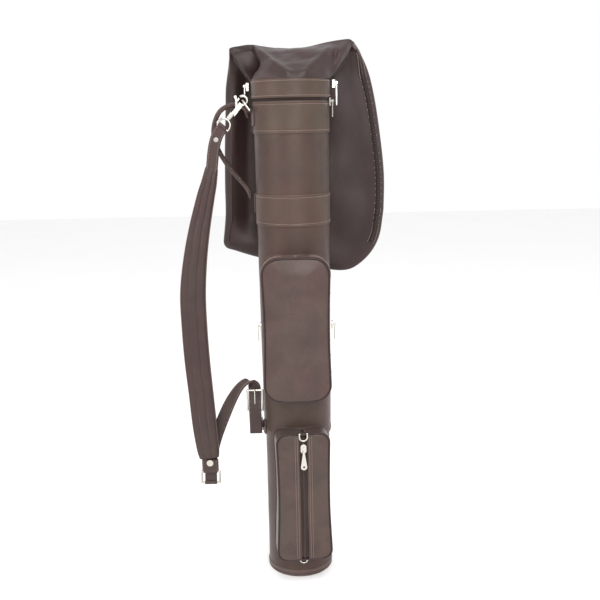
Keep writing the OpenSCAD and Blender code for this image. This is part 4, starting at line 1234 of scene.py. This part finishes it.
def panel_rows(pocket, inset, x_from, side, swell, seed, columns=46, rows=72):
    """Bulged front panel as rows from bottom to top. side 0 is the whole width, -1 and 1 are halves."""
    z0, z1 = pocket.z0 + inset, pocket.z1 - inset
    share = (1 - np.cos(np.linspace(0, math.pi, rows))) / 2 * 0.6 + np.linspace(0, 1, rows) * 0.4
    made = []
    for z in z0 + (z1 - z0) * share:
        edge = float(pocket.edge_x(z, inset))
        across = (1 - np.cos(np.linspace(0, math.pi, columns))) / 2
        if side:
            x = side * (x_from + (edge - x_from) * across)
            near_zip = np.abs(x) - x_from
        else:
            x = -edge + 2 * edge * across
            near_zip = np.full(columns, 1.0)
        gap = np.minimum(edge - np.abs(x), min(z - z0, z1 - z) + 0.25 * (edge - np.abs(x)))
        gap = np.maximum(gap, 0)
        rim = np.sqrt(np.clip(1 - (1 - np.clip(gap / (7 * MM), 0, 1)) ** 2, 0, 1))
        dome = smoothstep(gap, 0, 42 * MM)
        fold = np.sqrt(np.clip(1 - (1 - np.clip(near_zip / (3.2 * MM), 0, 1)) ** 2, 0, 1))
        at = np.stack([x, np.full(columns, seed), np.full(columns, z)], axis=1)
        soft = smooth_noise(at, 15, seed) * 4.2 + smooth_noise(at, 34, seed + 4) * 1.7
        lift = (1.6 * rim + swell * dome + soft * dome) * (0.55 + 0.45 * fold) - 1.6
        made.append(np.stack([x, -pocket.front - lift * MM, np.full(columns, z)], axis=1))
    return np.array(made)


def tube_front(x, z, out=0.0):
    """y of the tube's surface at a place across its front."""
    r = tube_radius(z) + out
    return -math.sqrt(max(r * r - x * x, (18 * MM) ** 2))


def pocket_shell(pocket, name):
    """Gusset wall, welt and piping of a pocket. Returns its outline and the directions out from it."""
    outer = pocket.outline(0)
    along = tangents(outer, True)
    around = unit(np.stack([along[:, 1], -along[:, 0]], axis=1))
    pocket_wall(pocket, outer, around, name)
    pocket_welt(pocket, outer, around, name)
    pocket_piping(pocket, name)
    return outer, around


def pocket_wall(pocket, outer, around, name):
    """Gusset wall of a pocket from the tube to the piping, folded in behind the piping."""
    inner = pocket.outline(1.8 * MM)
    front = -(pocket.front - pocket.pipe + 0.2 * MM)
    shape, rows = Shape(), []
    for t in np.linspace(0, 1, 13):
        ring = []
        for (x, z), (nx, nz) in zip(outer, around):
            back = tube_front(min(abs(x), pocket.width), z)
            y = back + (front - back) * t
            wave = noise.noise(Vector((x * 22, y * 40, z * 22))) * 0.8
            swell = (math.sin(math.pi * t) * 0.7 + wave * math.sin(math.pi * t)) * MM
            ring.append((x + nx * swell, y, z + nz * swell))
        rows.append(ring)
    rows.append([(x, front, z) for x, z in inner])
    for t in (1.0, 0.5, 0.0):
        rows.append([(x, tube_front(min(abs(x), pocket.width), z) * (1 - t) + front * t, z)
                     for x, z in inner])
    shape.grid(pocket.to_world(rows), wrap_rows=True, wrap_columns=True)
    shape.put(name + "_sides", "pocket_leather", name + "_wall", sharp=60)


def pocket_welt(pocket, outer, around, name):
    """Rolled welt where the wall meets the tube."""
    path, out = [], []
    for (x, z), (nx, nz) in zip(outer, around):
        y = tube_front(min(abs(x) + 0.9 * MM, pocket.width + 1 * MM), z, 0.8 * MM)
        path.append((x + nx * 0.9 * MM, y, z + nz * 0.9 * MM))
        out.append((nx, 0, nz))
    roll = Shape()
    sweep(roll, pocket.to_world(path), pocket.to_world(out), round_section(1.35 * MM, 10), closed=True)
    roll.put(name + "_welt", "pocket_leather")


def pocket_piping(pocket, name):
    """Round piping at the front edge of a pocket."""
    y = -(pocket.front - pocket.pipe / 2)
    path = [(x, y, z) for x, z in pocket.outline(0.5 * MM)]
    shape = Shape()
    sweep(shape, pocket.to_world(path), pocket.to_world([0.0, 1, 0]), round_section(1.55 * MM), closed=True)
    shape.put(name + "_edge", "piping_leather", name + "_piping")


def make_mid_pocket():
    """Middle pocket: bulged front, gusset wall, piping and the zip over its top and down both sides."""
    pocket = Pocket("mid_pocket_piping", MID_TURN, 30 * MM)
    outer, around = pocket_shell(pocket, "mid_pocket")
    panel = slab(Shape(), pocket.to_world(panel_rows(pocket, PANEL_INSET, 0, 0, 4.2, 1.5)), PANEL_BACK)
    panel.put("mid_pocket_panel", "pocket_leather", "mid_pocket_front", sharp=60)
    low, high = turned_box("mid_pocket_zip", MID_TURN)
    keep = outer[:, 1] > low[2]
    path, out = (np.stack([p[keep][:, 0], np.full(keep.sum(), y), p[keep][:, 1]], axis=1)
                 for p, y in ((outer, (low[1] + high[1]) / 2), (around, 0)))
    world, facing = pocket.to_world(path + out * 0.75 * MM), pocket.to_world(out)
    along_y = pocket.to_world([0.0, 1, 0])
    tape, rows, lips = Shape(), Shape(), Shape()
    sweep(tape, world, along_y, strap_section(5.6 * MM, 1.0 * MM, columns=3))
    for side in (-1, 1):
        lip = world + along_y * side * 4.1 * MM + facing * 0.1 * MM
        sweep(lips, lip, along_y, strap_section(5.0 * MM, 1.7 * MM, columns=4))
        stitch_line(rows, world + along_y * side * 4.6 * MM + facing * 0.9 * MM, facing)
    lips.put("mid_zip_lips", "pocket_leather", sharp=70)
    tape.put("mid_zip_tape", "zip_tape", "mid_pocket_zip")
    teeth = zip_teeth(world, along_y, facing, 2.1 * MM, 0.3 * MM, 3.0 * MM, 0.6 * MM)
    teeth.put("mid_zip_teeth", "coil", slot="zip_tape")
    rows.put("mid_pocket_stitches", "thread", slot="pocket_leather")


def make_low_pocket():
    """Lower pocket: two bulged halves with a straight zip between them, walls and piping."""
    pocket = Pocket("low_pocket_piping", LOW_TURN, 17 * MM, taper=2.5 * MM)
    pocket_shell(pocket, "low_pocket")
    low, high = turned_box("low_pocket_zip", LOW_TURN)
    half = (high[0] - low[0]) / 2
    stitches = Shape()
    for side, node in ((-1, "low_panel_left"), (1, "low_panel_right")):
        rows = panel_rows(pocket, PANEL_INSET, half - 0.6 * MM, side, 2.6, 3.0 + side, columns=30)
        panel = slab(Shape(), pocket.to_world(rows), PANEL_BACK)
        panel.put(node + "_leather", "pocket_leather", node, sharp=60)
        for reach in (3.4, 7.4):
            line = []
            for row in rows[3:-3]:
                k = int(np.argmin(np.abs(np.abs(row[:, 0]) - half - reach * MM)))
                line.append((side * (half + reach * MM), row[k][1] - 0.1 * MM, row[k][2]))
            stitch_line(stitches, pocket.to_world(line), (0, -1, 0))
    stitches.put("low_pocket_stitches", "thread", slot="pocket_leather")
    zip_y = -(pocket.front - 2.4 * MM)
    world = pocket.to_world([(0, zip_y, z) for z in np.linspace(low[2] + 1 * MM, high[2] - 1 * MM, 60)])
    across, out = pocket.to_world([[1.0, 0, 0], [0.0, -1, 0]])
    tape = Shape()
    sweep(tape, world, across, strap_section(half * 2 + 2 * MM, 1.0 * MM, columns=4))
    tape.put("low_zip_tape", "pocket_tape", "low_pocket_zip", slot="zip_tape")
    teeth = zip_teeth(world, across, out, 2.2 * MM, 0.9 * MM, 5.4 * MM, 0.8 * MM)
    teeth.put("low_zip_teeth", "pocket_coil", slot="zip_tape")


def make_ring_tabs():
    """Small leather loops that hold the two rings of the lower pocket."""
    shape, rows = Shape(), Shape()
    across, out = turn_about_axis([[1.0, 0, 0], [0.0, -1, 0]], LOW_TURN)
    up = np.array([0, 0, 1.0])
    top, bottom = np.array(pivot("top_dring_swing")), np.array(pivot("bottom_dring_swing"))
    width = 11 * MM
    wrap_round(shape, top, across, 1.6 * MM, 3.0 * MM, width)
    path = [top - up * 2.2 * MM - out * k * MM for k in np.linspace(1.5, 24, 10)]
    sweep(shape, path, across, strap_section(width, 2.0 * MM))
    for side in (-1, 1):
        line = [p + up * 1.1 * MM + across * side * 3.8 * MM for p in path[3:]]
        stitch_line(rows, line, up, pitch=3.4 * MM)
    wrap_round(shape, bottom, across, 1.6 * MM, 3.0 * MM, width)
    patch_top = split_at("low_dring_tabs", LOW_POCKET_MIDDLE)[1][:, 2].max()
    tube_patch(shape, rows, math.degrees(LOW_TURN) - 90, bottom[2] - 6 * MM, patch_top, width, LOWER_R,
               2.0 * MM, 2.5 * MM)
    shape.put("ring_loops", "piping_leather", "low_dring_tabs", sharp=70)
    rows.put("ring_loop_stitches", "thread", slot="piping_leather")


# ---------------------------------------------------------------- hardware

METAL = {
    "bright_nickel": [
        "rim_slider", "rim_pull", "hood_slider_right", "hood_slider_left", "hood_pull_right",
        "hood_pull_left", "mid_slider_left", "mid_slider_right", "mid_pull_left", "mid_pull_right",
        "low_slider", "low_pull",
    ],
    "ring_nickel": [
        "strap_dring_upper", "strap_ring", "strap_ring_lower", "low_dring_top", "low_dring_bottom",
        "swivel_eye", "buckle_frame", "buckle_prong", "strap_rivets",
    ],
    "hook_nickel": ["hook_body", "hook_gate"],
    "liner_plastic": ["tube_liner"],
    "fibreboard": ["base_board"],
}


def finish_hardware():
    """Plated metal, the liner and the board keep their CAD shapes, with softened edges."""
    for slot, nodes in METAL.items():
        for node in nodes:
            piece = frame["nodes"][node]
            piece.data.materials.clear()
            piece.data.materials.append(MATERIALS[slot])
            soften(piece)


def soften(piece):
    """Rounds the edges a little without touching the mesh itself."""
    bevel = piece.modifiers.new("edge", "BEVEL")
    bevel.width = 0.25 * MM
    bevel.segments = 2
    bevel.limit_method = "ANGLE"
    bevel.angle_limit = math.radians(38)
    bevel.harden_normals = True
    bevel.use_clamp_overlap = True


# ---------------------------------------------------------------- picture

# Each light's power, size, place, and the point that it faces.
LIGHTS = {
    "left_window": (22, (1.2, 1.8), (-1.7, -1.3, 1.4), (0, 0, 0.55)),
    "front_fill": (42, (1.6, 1.4), (0.5, -2.6, 1.5), (0, 0, 0.5)),
    "right_edge": (4, (0.6, 1.6), (1.6, -0.2, 1.2), (0, 0, 0.5)),
    "top_soft": (20, (1.2, 1.2), (0.2, -0.9, 2.4), (0, 0, 0.9)),
}
CAMERA_AT = (0.0088, -1.444, 0.815)
CAMERA_DOWN = 12.12
CAMERA_ROLL = -1.16


def soft_light(name, power, size, at, toward):
    """A rectangular area light at a place, facing a point."""
    data = bpy.data.lights.new(name, "AREA")
    data.energy = power
    data.shape = "RECTANGLE"
    data.size, data.size_y = size
    light = bpy.data.objects.new(name, data)
    light.location = at
    light.rotation_euler = (Vector(toward) - Vector(at)).to_track_quat("-Z", "Y").to_euler()
    bpy.context.scene.collection.objects.link(light)


def set_picture():
    """White room, four soft lights, and the camera."""
    scene = bpy.context.scene
    world = bpy.data.worlds.new("studio")
    world.use_nodes = True
    back = world.node_tree.nodes["Background"]
    back.inputs["Color"].default_value = (1, 1, 1, 1)
    back.inputs["Strength"].default_value = 1.0
    scene.world = world
    scene.view_settings.view_transform = "Standard"
    for name, light in LIGHTS.items():
        soft_light(name, *light)
    data = bpy.data.cameras.new("camera")
    data.lens = 50
    data.sensor_width = 36
    camera = bpy.data.objects.new("camera", data)
    down = Matrix.Rotation(math.radians(90 - CAMERA_DOWN), 4, "X")
    roll = Matrix.Rotation(math.radians(CAMERA_ROLL), 4, "Z")
    camera.matrix_world = Matrix.Translation(CAMERA_AT) @ down @ roll
    scene.collection.objects.link(camera)
    scene.camera = camera


def make_floor():
    """Plain pale floor."""
    mesh = bpy.data.meshes.new("floor")
    mesh.from_pydata([(-6, -6, 0), (6, -6, 0), (6, 6, 0), (-6, 6, 0)], [], [(0, 1, 2, 3)])
    floor = bpy.data.objects.new("floor", mesh)
    bpy.context.scene.collection.objects.link(floor)
    paint = Paint("floor")
    tone = paint.mix(paint.noise(3), rgb(0.93, 0.93, 0.93), rgb(0.90, 0.90, 0.90))
    paint.set(Base_Color=tone, Roughness=0.7)
    mesh.materials.append(paint.material)


make_base()
make_shells()
make_band("band_lower")
make_band("band_upper")
make_rim_zip("rim_zip_lower", 1)
make_rim_zip("rim_zip_upper", -1)
make_rim_hinge()
make_collar()
make_neck()
make_neck_zip("hood_zip_right", 1)
make_neck_zip("hood_zip_left", -1)
make_hanging_hood()
make_handle()
make_handle_tabs()
make_straps()
make_strap_pad()
make_anchor_tabs()
make_mid_pocket()
make_low_pocket()
make_ring_tabs()
finish_hardware()
make_floor()
set_picture()
